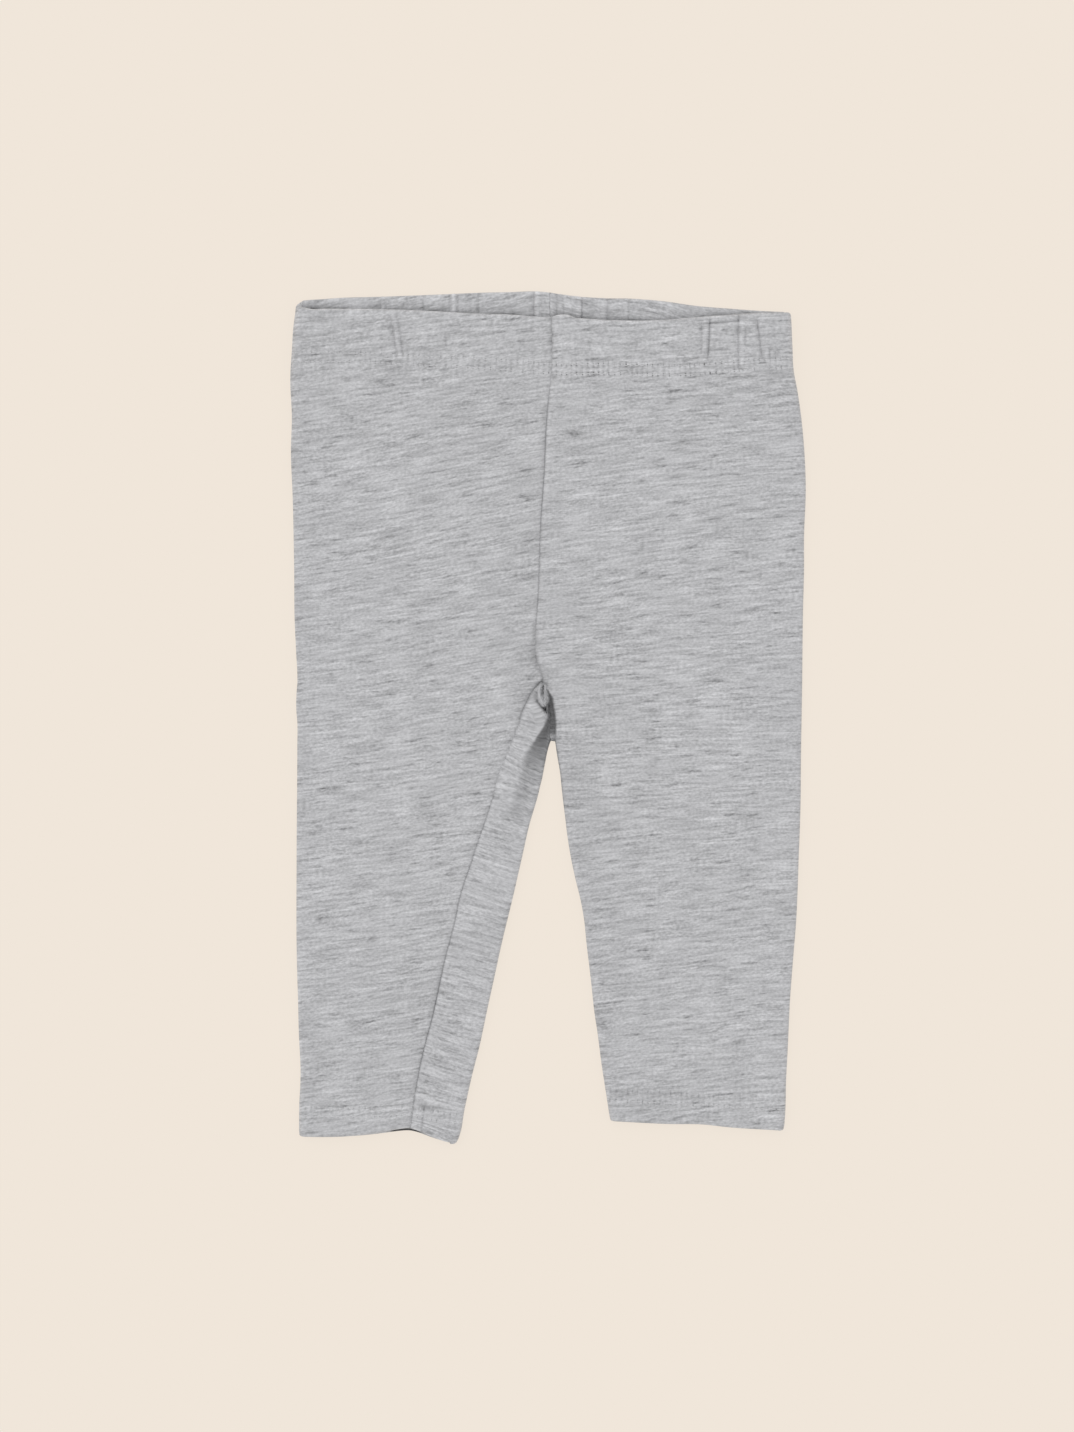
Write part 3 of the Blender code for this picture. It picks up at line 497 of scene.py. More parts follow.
def front_relief(leg, x, y, seam_x, on_strip=False):
    """How far the front's face stands up from its plain form, its painted shade and light, and how near
    it is to the needle rows and to the puckers between them."""
    rise, shade = seam_relief(x - seam_x, y)
    for dip in DIPS:
        there = bell(x, dip.x, dip.across) * bell(y, dip.y, dip.along)
        rise = rise - dip.depth * there
        shade = shade + dip.shade * there
    for fold in FOLDS:
        line = bell(beside(fold.points, x, y), 0, fold.width)
        rise = rise - fold.depth * line
        shade = 1 - (1 - shade) * (1 - fold.shade * line)
    needle, ladder = 0.0, 0.0
    if not on_strip:
        past, before = CREASE_FADES
        for crease, xs, ys in creases_of(leg):
            low, high = ys[0], ys[-1]
            fade = ramp(y, low - past, low + before) * (1 - ramp(y, high - before, high + past))
            line = bell(x, np.interp(y, ys, xs), crease.width) * fade
            rise = rise - crease.depth * line
            shade = shade + crease.shade * line
        needle, ladder = stitched(y - front_base(x), CASING_NEEDLES)
    over_hem = y - hem_line(leg, x, 0)
    at_hem = stitched(over_hem, leg.hem.needles)
    needle, ladder = needle + HEM_STITCH_SHOW * at_hem[0], ladder + HEM_STITCH_SHOW * at_hem[1]
    rise = rise - NEEDLE_DEPTH * needle
    needle, ladder = needle * stitch_show(x), ladder * stitch_show(x)
    if on_strip:
        away = x - seam_x
        low = 1 - ramp(over_hem, 1.0, 6.0)
        rise = rise + ALLOWANCE_RISE * (1 - ramp(away, ALLOWANCE - 0.5, ALLOWANCE + 0.3)) * low
        shade = shade + ALLOWANCE_SHADE * bell(away, ALLOWANCE + 0.1, 0.45) * low
        shade = shade - ALLOWANCE_LIGHT * bell(away, ALLOWANCE / 2, 1.5) * low
    return rise, shade, needle, ladder


def back_relief(leg, x, y, seam_share):
    """The same for the back's outer face, which lies on the table and only rises from it."""
    seam = bell(x, CENTRE_BACK_X, SEAM_WIDTH) * seam_share
    rise, shade = SEAM_DEPTH * seam, SEAM_SHADE * seam
    for dip in DIPS:
        there = bell(-x, dip.x, dip.across) * bell(y, dip.y, dip.along)
        rise = rise + max(0.0, dip.depth) * there
        shade = shade + dip.shade * there
    up = y - back_base(x)
    for crease in BACK_CREASES:
        line = bell(x, crease.x, crease.width) * ramp(up, -8.0, 0.0)
        rise = rise + max(0.0, -crease.depth) * line
        shade = shade - BACK_CREASE_SHADE * crease.shade * line
    at_casing = stitched(up, CASING_NEEDLES)
    at_hem = stitched(y - hem_line(leg, x, 0), leg.hem.needles)
    needle, ladder = (one + HEM_STITCH_SHOW * other for one, other in zip(at_casing, at_hem))
    shade = shade + SADDLE_SHADE * bell(x, leg.inner(SADDLE_Y), 1.6) * bell(y, SADDLE_Y, 1.0)
    return rise + NEEDLE_DEPTH * needle, shade, needle, ladder


# ---------------------------------------------------------------- sections

# A row of a sheet is an array of these numbers by its points: where they lie, the way the outer face
# looks, the place on the flat cut, the painted shade, the needle rows and the puckers.
X, Y, Z, OUT_X, OUT_Y, OUT_Z, ACROSS, ALONG, SHADE, NEEDLE, LADDER = range(11)
POINT, OUTWARD = slice(X, Z + 1), slice(OUT_X, OUT_Z + 1)

# Where a row lies: its heights at the seam, the outer fold and the back, its share of the way down
# the leg, its share of the way up the casing or down the hem where it is in one of them, and the
# leg's first and last rows.
Level = namedtuple("Level", "seam fold back v casing hem top bottom")
# The same heights of such a first or last row, its seam's x and its inner fold's centre.
Ends = namedtuple("Ends", "seam fold back seam_x centre")


def stretch(x, y, z, out=(0.0, 0.0, 1.0), across=0.0, along=None, looks=(0.0, 0.0, 0.0)):
    """Part of a row, with its points as arrays."""
    along = y if along is None else along
    return np.array(np.broadcast_arrays(x, y, z, *out, across, along, *looks), float)


def spread(start, end, count, focus=()):
    """count + 1 places from start to end, closer round each focus, (place, reach, gain)."""
    fine = np.linspace(start, end, 500)
    density = np.ones(len(fine))
    for place, reach, gain in focus:
        density += gain * bell(fine, place, reach)
    total = np.concatenate([[0.0], np.cumsum((density[1:] + density[:-1]) / 2)])
    return np.interp(np.linspace(0, total[-1], count + 1), total, fine)


# Faces of a row over the front, over the back, on the strip and at the left leg's inner edge, and
# points round a fold.
FRONT_COUNT, BACK_COUNT, STRIP_COUNT, EDGE_COUNT, FOLD_COUNT = 86, 54, 28, 14, 9
SEAM_FOCUS = (1.6, 5.0)  # how far from a seam the columns crowd, and how much
EDGE_FOCUS = (2.5, 1.5)


def crease_focus(leg, y):
    """Where the columns crowd together on this height of the front."""
    focus = []
    for _, xs, ys in creases_of(leg):
        near = float(ramp(y, ys[0] - 14, ys[0]))
        focus.append((float(np.interp(y, ys, xs)), 1.2 + 2 * (1 - near), 2.2 * near))
    return focus


def back_focus(leg, y):
    """The same for the back, whose creases are in the casing's inside alone."""
    near = float(ramp(y, 120, 150))
    on_leg = {round(crease.x) for crease in BACK_CREASES if leg.side * (crease.x - CENTRE_BACK_X) > 0}
    return [(x, 1.0 + 3 * (1 - near), 4.5 * near) for x in sorted(on_leg)]


def casing_edges(x, t):
    """Heights of the front and the back at this share of the way up the casing."""
    return (
        mix(front_base(x), front_top(x) - CASING_EDGE, t),
        mix(back_base(x), back_top(x) - CASING_EDGE, t),
    )


FOLD_RISE = 1.3  # how late the fold turns up to the back's height
FOLD_X = 100.0  # where the casing's edges are read for it
BEND = 6  # how late a row takes on the form of the casing's or the hem's edge


def fold_height(leg, level):
    """The garment's height over the table at a row's outer fold."""
    if level.casing is not None:
        return CASING_HEIGHT
    if level.hem is not None:
        return HEM_HEIGHT
    return float(height(leg, leg.outer(level.fold), level.fold))


def outer_fold(leg, level, total):
    """Where a row's arc round the outer fold starts in x, and the arc, from front to back."""
    y_front, y_back = level.fold, level.fold
    if level.casing is not None:
        y_front, y_back = casing_edges(leg.side * FOLD_X, level.casing)
    start = float(leg.outer((y_front + y_back) / 2)) - leg.side * total / 2
    turn = np.linspace(0, 1, FOLD_COUNT + 2)[1:-1]
    angle = np.radians(mix(90, -90, turn))
    radius = total / 2 - TURN
    arc = stretch(
        start + leg.side * radius * np.cos(angle), mix(y_front, y_back, turn**FOLD_RISE),
        total / 2 + radius * np.sin(angle), (leg.side * np.cos(angle), 0.0, np.sin(angle)),
        across=radius * (turn - 0.5) * math.pi,
    )
    return start, arc


def settled(share, v, ends, top, bottom):
    """A row's height at this share of the way between its ends, as in the part's source."""
    top_bend = (top[2] - mix(top[0], top[1], share)) * (1 - v) ** BEND
    bottom_bend = (bottom[2] - mix(bottom[0], bottom[1], share)) * v**BEND
    return mix(ends[0], ends[1], share) + top_bend + bottom_bend


def inner_out(w):
    """The way the right leg's inner fold looks, w down the leg."""
    angle = math.radians(SADDLE_TILT * (float(ramp(w, 0.0, SADDLE_REACH)) - 1))
    return math.cos(angle), math.sin(angle)


def inner_centre(y, w):
    """Centre of the right leg's inner fold at height y."""
    x = float(RIGHT.inner(y))
    half = float(strip_height(x, y)) / 2
    out = inner_out(w)
    return x - half * out[0], y - half * out[1], half


def strip_points(k, w, centre, seam, centre_end, seam_end):
    """The strip between the inner fold (k = 0) and the inseam (k = 1), w down the leg."""
    first = inner_centre(SADDLE_Y, 0.0)
    knot = (float(front_seam(KNOT_Y)), KNOT_Y)
    y_top = mix(first[1], knot[1], k)
    top = (mix(first[0], hollow_seam(y_top), ramp(k, 0, SEAT_SHARE)), y_top)
    points = []
    for axis in (0, 1):
        end = mix(centre_end[axis], seam_end[axis], k)
        edges = mix(top[axis], end, w) + mix(centre[axis], seam[axis], k)
        corners = mix(mix(first[axis], knot[axis], k), end, w)
        points.append(edges - corners)
    return points


def roll_crossing(*ends):
    """The share of the way to the inseam where a row of the strip crosses the roll's line."""
    k = np.linspace(0, 1, 80)
    x, y = strip_points(k, *ends)
    off = x - roll(y)
    i = int(np.argmax(off < 0))
    if i == 0:
        return 0.0
    return float(k[i - 1] + off[i - 1] / (off[i - 1] - off[i]) * (k[i] - k[i - 1]))


def front_line(leg, level, x, share):
    """y and z of a row's front face, share of the way from its seam to the outer fold."""
    if level.casing is not None:
        return casing_edges(x, level.casing)[0], np.full_like(x, CASING_HEIGHT)
    if level.hem is not None:
        return hem_line(leg, x, level.hem * HEM_FLAT), np.full_like(x, HEM_HEIGHT)
    top, bottom = level.top, level.bottom
    y = settled(
        np.sin(share * math.pi / 2), level.v, (level.seam, level.fold),
        (top.seam, top.fold, front_base(x)), (bottom.seam, bottom.fold, hem_line(leg, x, 0)),
    )
    return y, height(leg, x, y)


def back_part(leg, level, start, end, half_arc, seam_share, focus):
    """A row's back, from the x where the outer fold ends to its own end, (x, y)."""
    x = spread(start, end[0], BACK_COUNT, focus)
    if level.casing is not None:
        y = casing_edges(x, level.casing)[1]
    elif level.hem is not None:
        y = hem_line(leg, x, level.hem * HEM_FLAT, leg.hem.on_back)
    else:
        top, bottom = level.top, level.bottom
        share = (x - start) / (end[0] - start)
        y = settled(
            1 - np.cos(share * math.pi / 2), level.v, (level.fold, end[1]),
            (top.fold, top.back, back_base(x)), (bottom.fold, bottom.back, hem_line(leg, x, 0)),
        )
    rise, *looks = back_relief(leg, x, y, seam_share)
    across = half_arc + np.abs(x - start)
    return stretch(x, y, TURN + rise, (0.0, 0.0, -1.0), across=across, looks=looks)


def right_row(level):
    """One row round the right leg, from the seam over the front and the outer fold to the back,
    and below the knot on round the inner fold to the inseam."""
    leg = RIGHT
    total = fold_height(leg, level)
    half_arc = math.pi / 2 * (total / 2 - TURN)
    seam_x = float(front_seam(level.seam))
    fold_x, fold = outer_fold(leg, level, total)
    x = spread(seam_x, fold_x, FRONT_COUNT, [(seam_x, *SEAM_FOCUS), *crease_focus(leg, level.seam)])
    y, z = front_line(leg, level, x, (x - seam_x) / (fold_x - seam_x))
    rise, *looks = front_relief(leg, x, y, front_seam(y))
    across = -np.abs(x - fold_x) - half_arc
    row = [stretch(x, y, z + rise - TURN, across=across, looks=looks), fold]
    if level.seam > KNOT_Y:
        end = (CENTRE_BACK_X, level.back)
        focus = [(CENTRE_BACK_X, *SEAM_FOCUS), *back_focus(leg, level.back)]
        return [*row, back_part(leg, level, fold_x, end, half_arc, 1.0, focus)]
    w = max(0.0, (KNOT_Y - level.seam) / (KNOT_Y - level.bottom.seam))
    if level.hem is None:
        centre = inner_centre(level.back, w)
    else:
        centre = (float(leg.inner(level.back)) - HEM_HEIGHT / 2, level.back, HEM_HEIGHT / 2)
    back = back_part(leg, level, fold_x, centre[:2], half_arc, 0.0, [])
    return [*row, back, *inner_fold_and_strip(level, w, centre, back[ACROSS, -1])]


# Where the strip's columns crowd, as shares of its width: at the inseam, at the allowance's edge
# and where it rolls down.
STRIP_FOCUS = ((1, 0.07, 3.0), (0.74, 0.06, 1.5))
ROLL_FOCUS = (0.07, 3.0)


def inner_fold_and_strip(level, w, centre, across):
    """The right leg's inner fold, and the strip of its back that lies on its front."""
    leg, bottom = RIGHT, level.bottom
    out = inner_out(w) if level.hem is None else (1.0, 0.0)
    turn = np.linspace(0, 1, FOLD_COUNT + 2)[1:-1]
    angle = np.radians(mix(-90, 90, turn))
    radius = centre[2] - TURN
    reach = radius * np.cos(angle)
    arc = stretch(
        centre[0] + out[0] * reach, centre[1] + out[1] * reach, centre[2] + radius * np.sin(angle),
        (out[0] * np.cos(angle), out[1] * np.cos(angle), np.sin(angle)),
        across=across + radius * turn * math.pi, along=centre[1],
    )
    # Painted shade of the hollow on the inner fold, lighter again low down the leg.
    lit = 1 - FOLD_LIGHT * ramp(arc[Y], *FOLD_LIT)
    arc[SHADE] = hollow_shade(arc[Y]) * ramp(arc[OUT_Z], -0.5, 0.5) * lit
    seam = (float(front_seam(level.seam)), level.seam)
    if level.hem is None:
        ends = w, centre, seam, bottom.centre, (bottom.seam_x, bottom.seam)
        k = spread(0, 1, STRIP_COUNT, [*STRIP_FOCUS, (roll_crossing(*ends), *ROLL_FOCUS)])
        x, y = strip_points(k, *ends)
        y = y + (hem_line(leg, x, 0) - mix(bottom.back, bottom.seam, k)) * level.v**BEND
        z = strip_height(x, y)
    else:
        k = spread(0, 1, STRIP_COUNT, STRIP_FOCUS)
        x = mix(centre[0], seam[0], k)
        y = hem_line(leg, x, level.hem * HEM_FLAT)
        z = np.full_like(x, HEM_HEIGHT)
    rise, shade, *stitches = front_relief(leg, x, y, front_seam(y), on_strip=True)
    # Painted shade where the strip rolls down into the hollow, lighter towards the inner fold low down
    # the leg and at the saddle.
    soft = roll_softness(y)
    deep = hollow_shade(y) * ramp(x, roll(y) - soft, roll(y) + soft)
    deep = deep * (1 - FOLD_LIGHT * ramp(y, *FOLD_LIT) * ramp(x, roll(y) + 1, roll(y) + 8))
    deep = deep * (1 - SADDLE_LIGHT / 2 * ramp(y, *SADDLE_LIT) * ramp(x, -0.8, 0.6))
    looks = (1 - (1 - shade) * (1 - deep), *stitches)
    # On the flat cut the strip lies beyond the inner fold, so it is turned back over that line.
    lean = np.array([float(leg.inner(centre[1] + 2) - leg.inner(centre[1] - 2)), 4.0])
    lean /= np.linalg.norm(lean)
    dx, dy = x - centre[0], y - centre[1]
    side_on = dx * lean[1] - dy * lean[0]
    along = centre[1] + dy + 2 * side_on * lean[0]
    across = across + radius * math.pi + np.abs(side_on)
    return [arc, stretch(x, y, z + rise - TURN, across=across, along=along, looks=looks)]


UNDERLAP = 0.35  # the left sheet's edge under the right's, where they meet in the hollow
SADDLE_UNDERLAP = 0.6  # and how much further by the saddle, where both roll down to the back
SADDLE_DROP = 0.8
EDGE_REACH = 7.0  # how far from the front seam its columns crowd
EDGE_FOOT = 1.5 * CLOTH  # where the left leg's wall starts over the back, below the saddle
HOLLOW_FILLET = 0.6


def left_edge(y_seam):
    """Section of the left leg's inner edge, from its seam up to the front: x, z and outward."""
    leg = LEFT
    points = EDGE_COUNT + 1
    if y_seam > KNOT_Y:
        start = float(front_seam(y_seam))
        x = start + np.linspace(0, 1, points) ** 1.6 * EDGE_REACH
        z = height(leg, x, y_seam)
        return x, z - TURN, np.zeros(points), np.ones(points)
    wall_x = max(float(leg.inner(y_seam)), float(hollow_seam(y_seam))) + TURN
    top = float(height(leg, wall_x, y_seam)) - TURN
    if y_seam > SADDLE_Y:
        by_saddle = float(ramp(y_seam, SADDLE_Y + 1.8, SADDLE_Y))
        floor = float(floor_height(wall_x, y_seam)) - TURN - SADDLE_DROP * by_saddle
        underlap = UNDERLAP + SADDLE_UNDERLAP * by_saddle
        path = [(float(hollow_seam(y_seam)) - underlap, floor - 0.12)]
        fillet = min(HOLLOW_FILLET, 0.3 * (top - floor))
        start = max(wall_x - fillet, path[0][0] + 0.01 + UNDERLAP)
        path += [
            (start + (wall_x - start) * math.sin(a), floor + fillet * (1 - math.cos(a)))
            for a in np.radians(np.arange(0, 91, 15))
        ]
    else:
        floor = EDGE_FOOT
        path = [(wall_x, floor)]
    radius = min(EDGE_RADIUS, 0.8 * (top - floor))
    path += [
        (wall_x + radius * (1 - math.cos(a)), top - radius * (1 - math.sin(a)))
        for a in np.radians(np.arange(0, 91, 10))
    ]
    path.append((wall_x + radius + 3.0, top))
    path = np.array(path)
    gone = np.concatenate([[0.0], np.cumsum(np.hypot(*np.diff(path, axis=0).T))])
    at = np.linspace(0, gone[-1], points)
    x, z = np.interp(at, gone, path[:, 0]), np.interp(at, gone, path[:, 1])
    tx, tz = np.gradient(x), np.gradient(z)
    size = np.hypot(tx, tz)
    return x, z, -tz / size, tx / size


# How far down the left leg's wall its painted shade starts and is full, as shares of the wall's height,
# and how far down it is full in any case.
WALL_SHADED = (0.06, 0.5, 1.1)


def left_row(level):
    """One row round the left leg, from its inner edge over the front to the back."""
    leg = LEFT
    total = fold_height(leg, level)
    half_arc = math.pi / 2 * (total / 2 - TURN)
    fold_x, fold = outer_fold(leg, level, total)
    edge_x, edge_z, out_x, out_z = left_edge(level.seam)
    if level.hem is not None:
        shift = HEM_HEIGHT - float(height(leg, edge_x[-1], level.seam))
        edge_z = edge_z + shift * ramp(edge_z, EDGE_FOOT, edge_z[-1])
    start_x = edge_x[-1]
    x = spread(start_x, fold_x, FRONT_COUNT, [(start_x, *EDGE_FOCUS), *crease_focus(leg, level.seam)])
    x = np.concatenate([edge_x[:-1], x])
    y, z = front_line(leg, level, x, np.clip((x - start_x) / (fold_x - start_x), 0, 1))
    z = z - TURN
    out = np.zeros((3, len(x)))
    out[2] = 1.0
    out[0, :EDGE_COUNT], out[2, :EDGE_COUNT] = out_x[:-1], out_z[:-1]
    if level.seam > KNOT_Y:
        rise, shade, *stitches = front_relief(leg, x, y, front_seam(y))
    else:
        z[:EDGE_COUNT] = edge_z[:-1]
        rise, shade, *stitches = front_relief(leg, x, y, x - FAR_OFF)
        # Painted shade of the hollow down the wall, lighter at the saddle.
        wall = edge_z[-1] - edge_z[0]
        start, full, most = WALL_SHADED
        deep = ramp(edge_z[-1] - z, start * wall, min(most, full * wall)) * (x < start_x)
        if level.seam > SADDLE_Y:
            deep = deep * (1 - SADDLE_LIGHT * float(ramp(level.seam, *SADDLE_LIT)))
        shade = shade + hollow_shade(level.seam) * deep * (1 - shade)
    gone = np.concatenate([[0.0], np.cumsum(np.hypot(np.diff(x), np.diff(z)))])
    across, looks = gone - gone[-1] - half_arc, (shade, *stitches)
    back_x = CENTRE_BACK_X
    if level.back < SADDLE_Y:
        back_x = max(back_x, float(leg.inner(level.back)))
    seam_share = float(ramp(level.back, SADDLE_Y, SADDLE_Y + 4))
    focus = [(back_x, *SEAM_FOCUS), *back_focus(leg, level.back)]
    return [
        stretch(x, y, z + rise * out[2], out, across=across, looks=looks),
        fold,
        back_part(leg, level, fold_x, (back_x, level.back), half_arc, seam_share, focus),
    ]


# ---------------------------------------------------------------- sheets

TURN_COUNT = 7  # rows of a turned edge
FINE_STEP = 0.55  # from row to row by the knot
COARSE_STEP = 2.6
GROWTH = 0.04


def leg_heights(top, bottom):
    """Heights at the seam of the rows between casing and hem: KNOT_Y is one of them."""
    parts = []
    for start, end in ((top, KNOT_Y), (KNOT_Y, bottom)):
        heights = [start]
        while heights[-1] > end:
            y = heights[-1]
            near = max(0.0, y - KNOT_Y, SADDLE_Y - y)
            step = min(FINE_STEP + GROWTH * near, COARSE_STEP)
            close = min(top - y, y - bottom)
            heights.append(y - min(step, 0.4 + 0.25 * close))
        spare = (heights[-1] - end) / (len(heights) - 1)
        parts.append([y - spare * i for i, y in enumerate(heights)])
    return parts[0] + parts[1][1:]


def around(places, marks, reach):
    """Places from 0 up, with some close to each mark."""
    near = [mark + d * reach for mark in marks for d in (-1.6, -1.0, -0.5, 0.0, 0.5, 1.0, 1.6)]
    kept = [p for p in places if min(abs(p - mark) for mark in marks) > 1.9 * reach]
    return [place for place in sorted(near + kept) if place >= 0]


# Heights at which the front's seam and outer fold are read to find where the casing's base crosses
# them, and the x at which its top is read at the fold.
BASE_AT_SEAM, BASE_AT_FOLD, TOP_AT_FOLD = 140, 142, 99


def leg_ends(leg):
    """The rows at which a leg meets its casing and its hem."""
    at = leg.at_stitches
    seam_top = float(front_base(front_seam(BASE_AT_SEAM)))
    fold_top = float(front_base(leg.outer(BASE_AT_FOLD)))
    seam_bottom = float(hem_line(leg, leg.foot(at.foot), 0))
    fold_bottom = float(hem_line(leg, leg.outer(at.outer), 0))
    back_bottom = float(hem_line(leg, leg.inner(at.inner), 0))
    centre = inner_centre(back_bottom, 1.0) if leg is RIGHT else None
    return (
        Ends(seam_top, fold_top, float(back_base(CENTRE_BACK_X)), None, None),
        Ends(seam_bottom, fold_bottom, back_bottom, float(front_seam(seam_bottom)), centre),
    )


def sheet_rows(leg):
    """All rows of a leg's sheet from the casing's top edge down to the hem's lower edge, and the
    needle rows among them."""
    make = right_row if leg is RIGHT else left_row
    ends = leg_ends(leg)
    top, bottom = ends
    rows, needle_rows = [], []

    def add(level, is_needle_row=False):
        rows.append(np.concatenate(make(level), axis=1))
        if is_needle_row:
            needle_rows.append(rows[-1])

    deep = float(front_top(0)) - CASING_EDGE - top.seam
    x = leg.side * TOP_AT_FOLD
    fold_edge = (float(front_top(x)) + float(back_top(x))) / 2 - CASING_EDGE
    back_edge = float(back_top(CENTRE_BACK_X))
    ups = [*np.linspace(0, 18.5, 10), *np.linspace(19.2, deep, 10)]
    for up in reversed(around(ups, CASING_NEEDLES, 0.45)):
        t = up / deep
        y_fold, y_back = mix(top.fold, fold_edge, t), mix(top.back, back_edge, t)
        add(Level(top.seam + up, y_fold, y_back, 0.0, t, None, *ends), up in CASING_NEEDLES)

    for y_seam in leg_heights(top.seam, bottom.seam)[1:-1]:
        v = (top.seam - y_seam) / (top.seam - bottom.seam)
        if leg is LEFT:
            y_back = y_seam + (top.back - top.seam) * float(ramp(y_seam, BACK_RISES_AT, top.seam))
        elif y_seam > KNOT_Y:
            y_back = mix(SADDLE_Y, top.back, (y_seam - KNOT_Y) / (top.seam - KNOT_Y))
        else:
            y_back = mix(SADDLE_Y, bottom.back, (KNOT_Y - y_seam) / (KNOT_Y - bottom.seam))
        add(Level(y_seam, mix(top.fold, bottom.fold, v), y_back, v, None, None, *ends))

    deep, at = HEM_DEPTH * HEM_FLAT, leg.at_edge
    crossings = leg.foot(at.foot), leg.outer(at.outer), leg.inner(at.inner)
    marks = [-needle for needle in leg.hem.needles]
    for down in around(np.linspace(0, deep, 7), marks, 0.4):
        t = down / deep
        heights = (float(hem_line(leg, x, t * HEM_FLAT)) for x in crossings)
        add(Level(*heights, 1.0, None, t, *ends), down in marks)
    return rows, needle_rows


def turned(row, radius, up, depths, look_inside):
    """Rows that carry a sheet over its fold and back inside it. up is 1 at the waist and -1 at the
    hem, depths are how far the rows inside lie from the fold, and look_inside gives their looks."""
    made = []
    for i in range(1, TURN_COUNT + 1):
        angle = math.pi * i / TURN_COUNT
        new = row.copy()
        new[POINT] -= row[OUTWARD] * radius * (1 - math.cos(angle))
        new[Y] += up * radius * math.sin(angle)
        new[OUTWARD] = row[OUTWARD] * math.cos(angle)
        new[OUT_Y] += up * math.sin(angle)
        new[ALONG] = row[ALONG] + up * radius * angle
        made.append(new)
    for depth in depths:
        new = made[TURN_COUNT - 1].copy()
        new[Y] -= up * depth
        new[ALONG] += up * depth
        made.append(new)
    for new in made:
        new[NEEDLE:] = 0
        look_inside(new)
    return made


BACK_LIGHT = 0.035  # painted light on the back's inside, bright for how deep it lies
WAIST_SHADE = 0.44  # of the front's painted shadow on it
WAIST_REACH = 1.3
# The share of that shade along the front's edge, (x, share).
WAIST_DARK = (
    (-103, 0.2), (-98, 1.0), (-92, 1.15), (-85, 0.75), (-78, 0.4), (-72, 0.4), (-67, 0.8),
    (-60, 0.55), (-55, 0.5), (-48, 1.0), (-44, 1.0), (-38, 0.8), (-28, 0.6), (-23, 1.1), (-15, 1.2),
    (-9, 0.7), (0, 0.5), (5, 1.1), (13, 1.05), (21, 0.85), (27, 1.1), (33, 1.9), (40, 1.3),
    (48, 0.5), (56, 0.8), (61, 0.35), (66, 0.5), (72, 0.9), (80, 0.6),
)
waist_dark = straight(WAIST_DARK)
# Painted light on the front's rim, as a negative shade.
RIM_SHADE = -0.03
CORNER_X, CORNER_SHADE = -96.7, 0.6  # a spot of painted shadow in the opening's corner on the wearer's right
INSIDE_SEAM = 0.8  # the share of its depth that the back seam has inside


def waist_inside(row):
    """The casing's top and inside: the front's rim gets painted light, and the back's inside, which
    shows above the front's edge, is creased, with painted shade and light along its creases, and lies
    in the front's painted shadow."""
    x, y, z = row[POINT]
    front = z > CASING_HEIGHT / 2
    row[SHADE] += RIM_SHADE * front * bell(row[OUT_Y], 0.6, 0.45) * ramp(x, -92, -80)
    back = (row[OUT_Z] > 0.3) & ~front
    row[SHADE] *= np.where(back, 0.1, 1.0)
    row[Z] -= INSIDE_SEAM * SEAM_DEPTH * bell(x, CENTRE_BACK_X, SEAM_WIDTH) * back
    for crease in BACK_CREASES:
        line = bell(x, crease.x, crease.width) * back
        row[Z] -= crease.depth * line
        row[SHADE] += crease.shade * line
    above = np.maximum(0.0, y - front_top(x))
    reach = mix(1.25, 1.0, ramp(x, -95, -20)) * WAIST_REACH
    row[SHADE] += (WAIST_SHADE * waist_dark(x) * np.exp(-above / reach) - BACK_LIGHT) * back
    row[SHADE] += CORNER_SHADE * bell(x, CORNER_X, 0.75) * np.exp(-above / 1.1) * back


# Painted shade on the hem's inside under the arch of the front's edge.
ARCH_SHADE = 0.88
ARCH_DARK = (-63.0, -52.8)  # from x to x
ARCH_FADES = 2.5


def hem_inside(row):
    """The hem's inside on the back, which gets a painted shade where the front's edge arches up."""
    start, end = ARCH_DARK
    inside = ramp(row[OUT_Z], -0.1, 0.5) * (row[Z] < HEM_HEIGHT / 2)
    under = ramp(row[X], start - ARCH_FADES, start) * (1 - ramp(row[X], end, end + ARCH_FADES))
    row[SHADE] += ARCH_SHADE * under * inside


# ---------------------------------------------------------------- materials

PER_METRE = 1000  # millimetres, where the cut's measures are in metres


class Value:
    """A number from a shader node. Arithmetic on it adds Math nodes."""

    def __init__(self, finish, socket):
        self.finish, self.socket = finish, socket

    def maths(self, operation, *values):
        return self.finish.add("ShaderNodeMath", {"operation": operation}, dict(enumerate(values)))

    def __add__(self, other):
        return self.maths("ADD", self, other)

    def __sub__(self, other):
        return self.maths("SUBTRACT", self, other)

    def __rsub__(self, other):
        return self.maths("SUBTRACT", other, self)

    def __mul__(self, other):
        return self.maths("MULTIPLY", self, other)

    __radd__ = __add__
    __rmul__ = __mul__

    def wave(self):
        return self.maths("SINE", self)

    def wave_from_top(self):
        return self.maths("COSINE", self)

    def above(self, low, high):
        """0 below low, 1 above high and smooth between them."""
        return self.finish.add(
            "ShaderNodeMapRange", {"interpolation_type": "SMOOTHSTEP"},
            {"Value": self, "From Min": low, "From Max": high},
        )


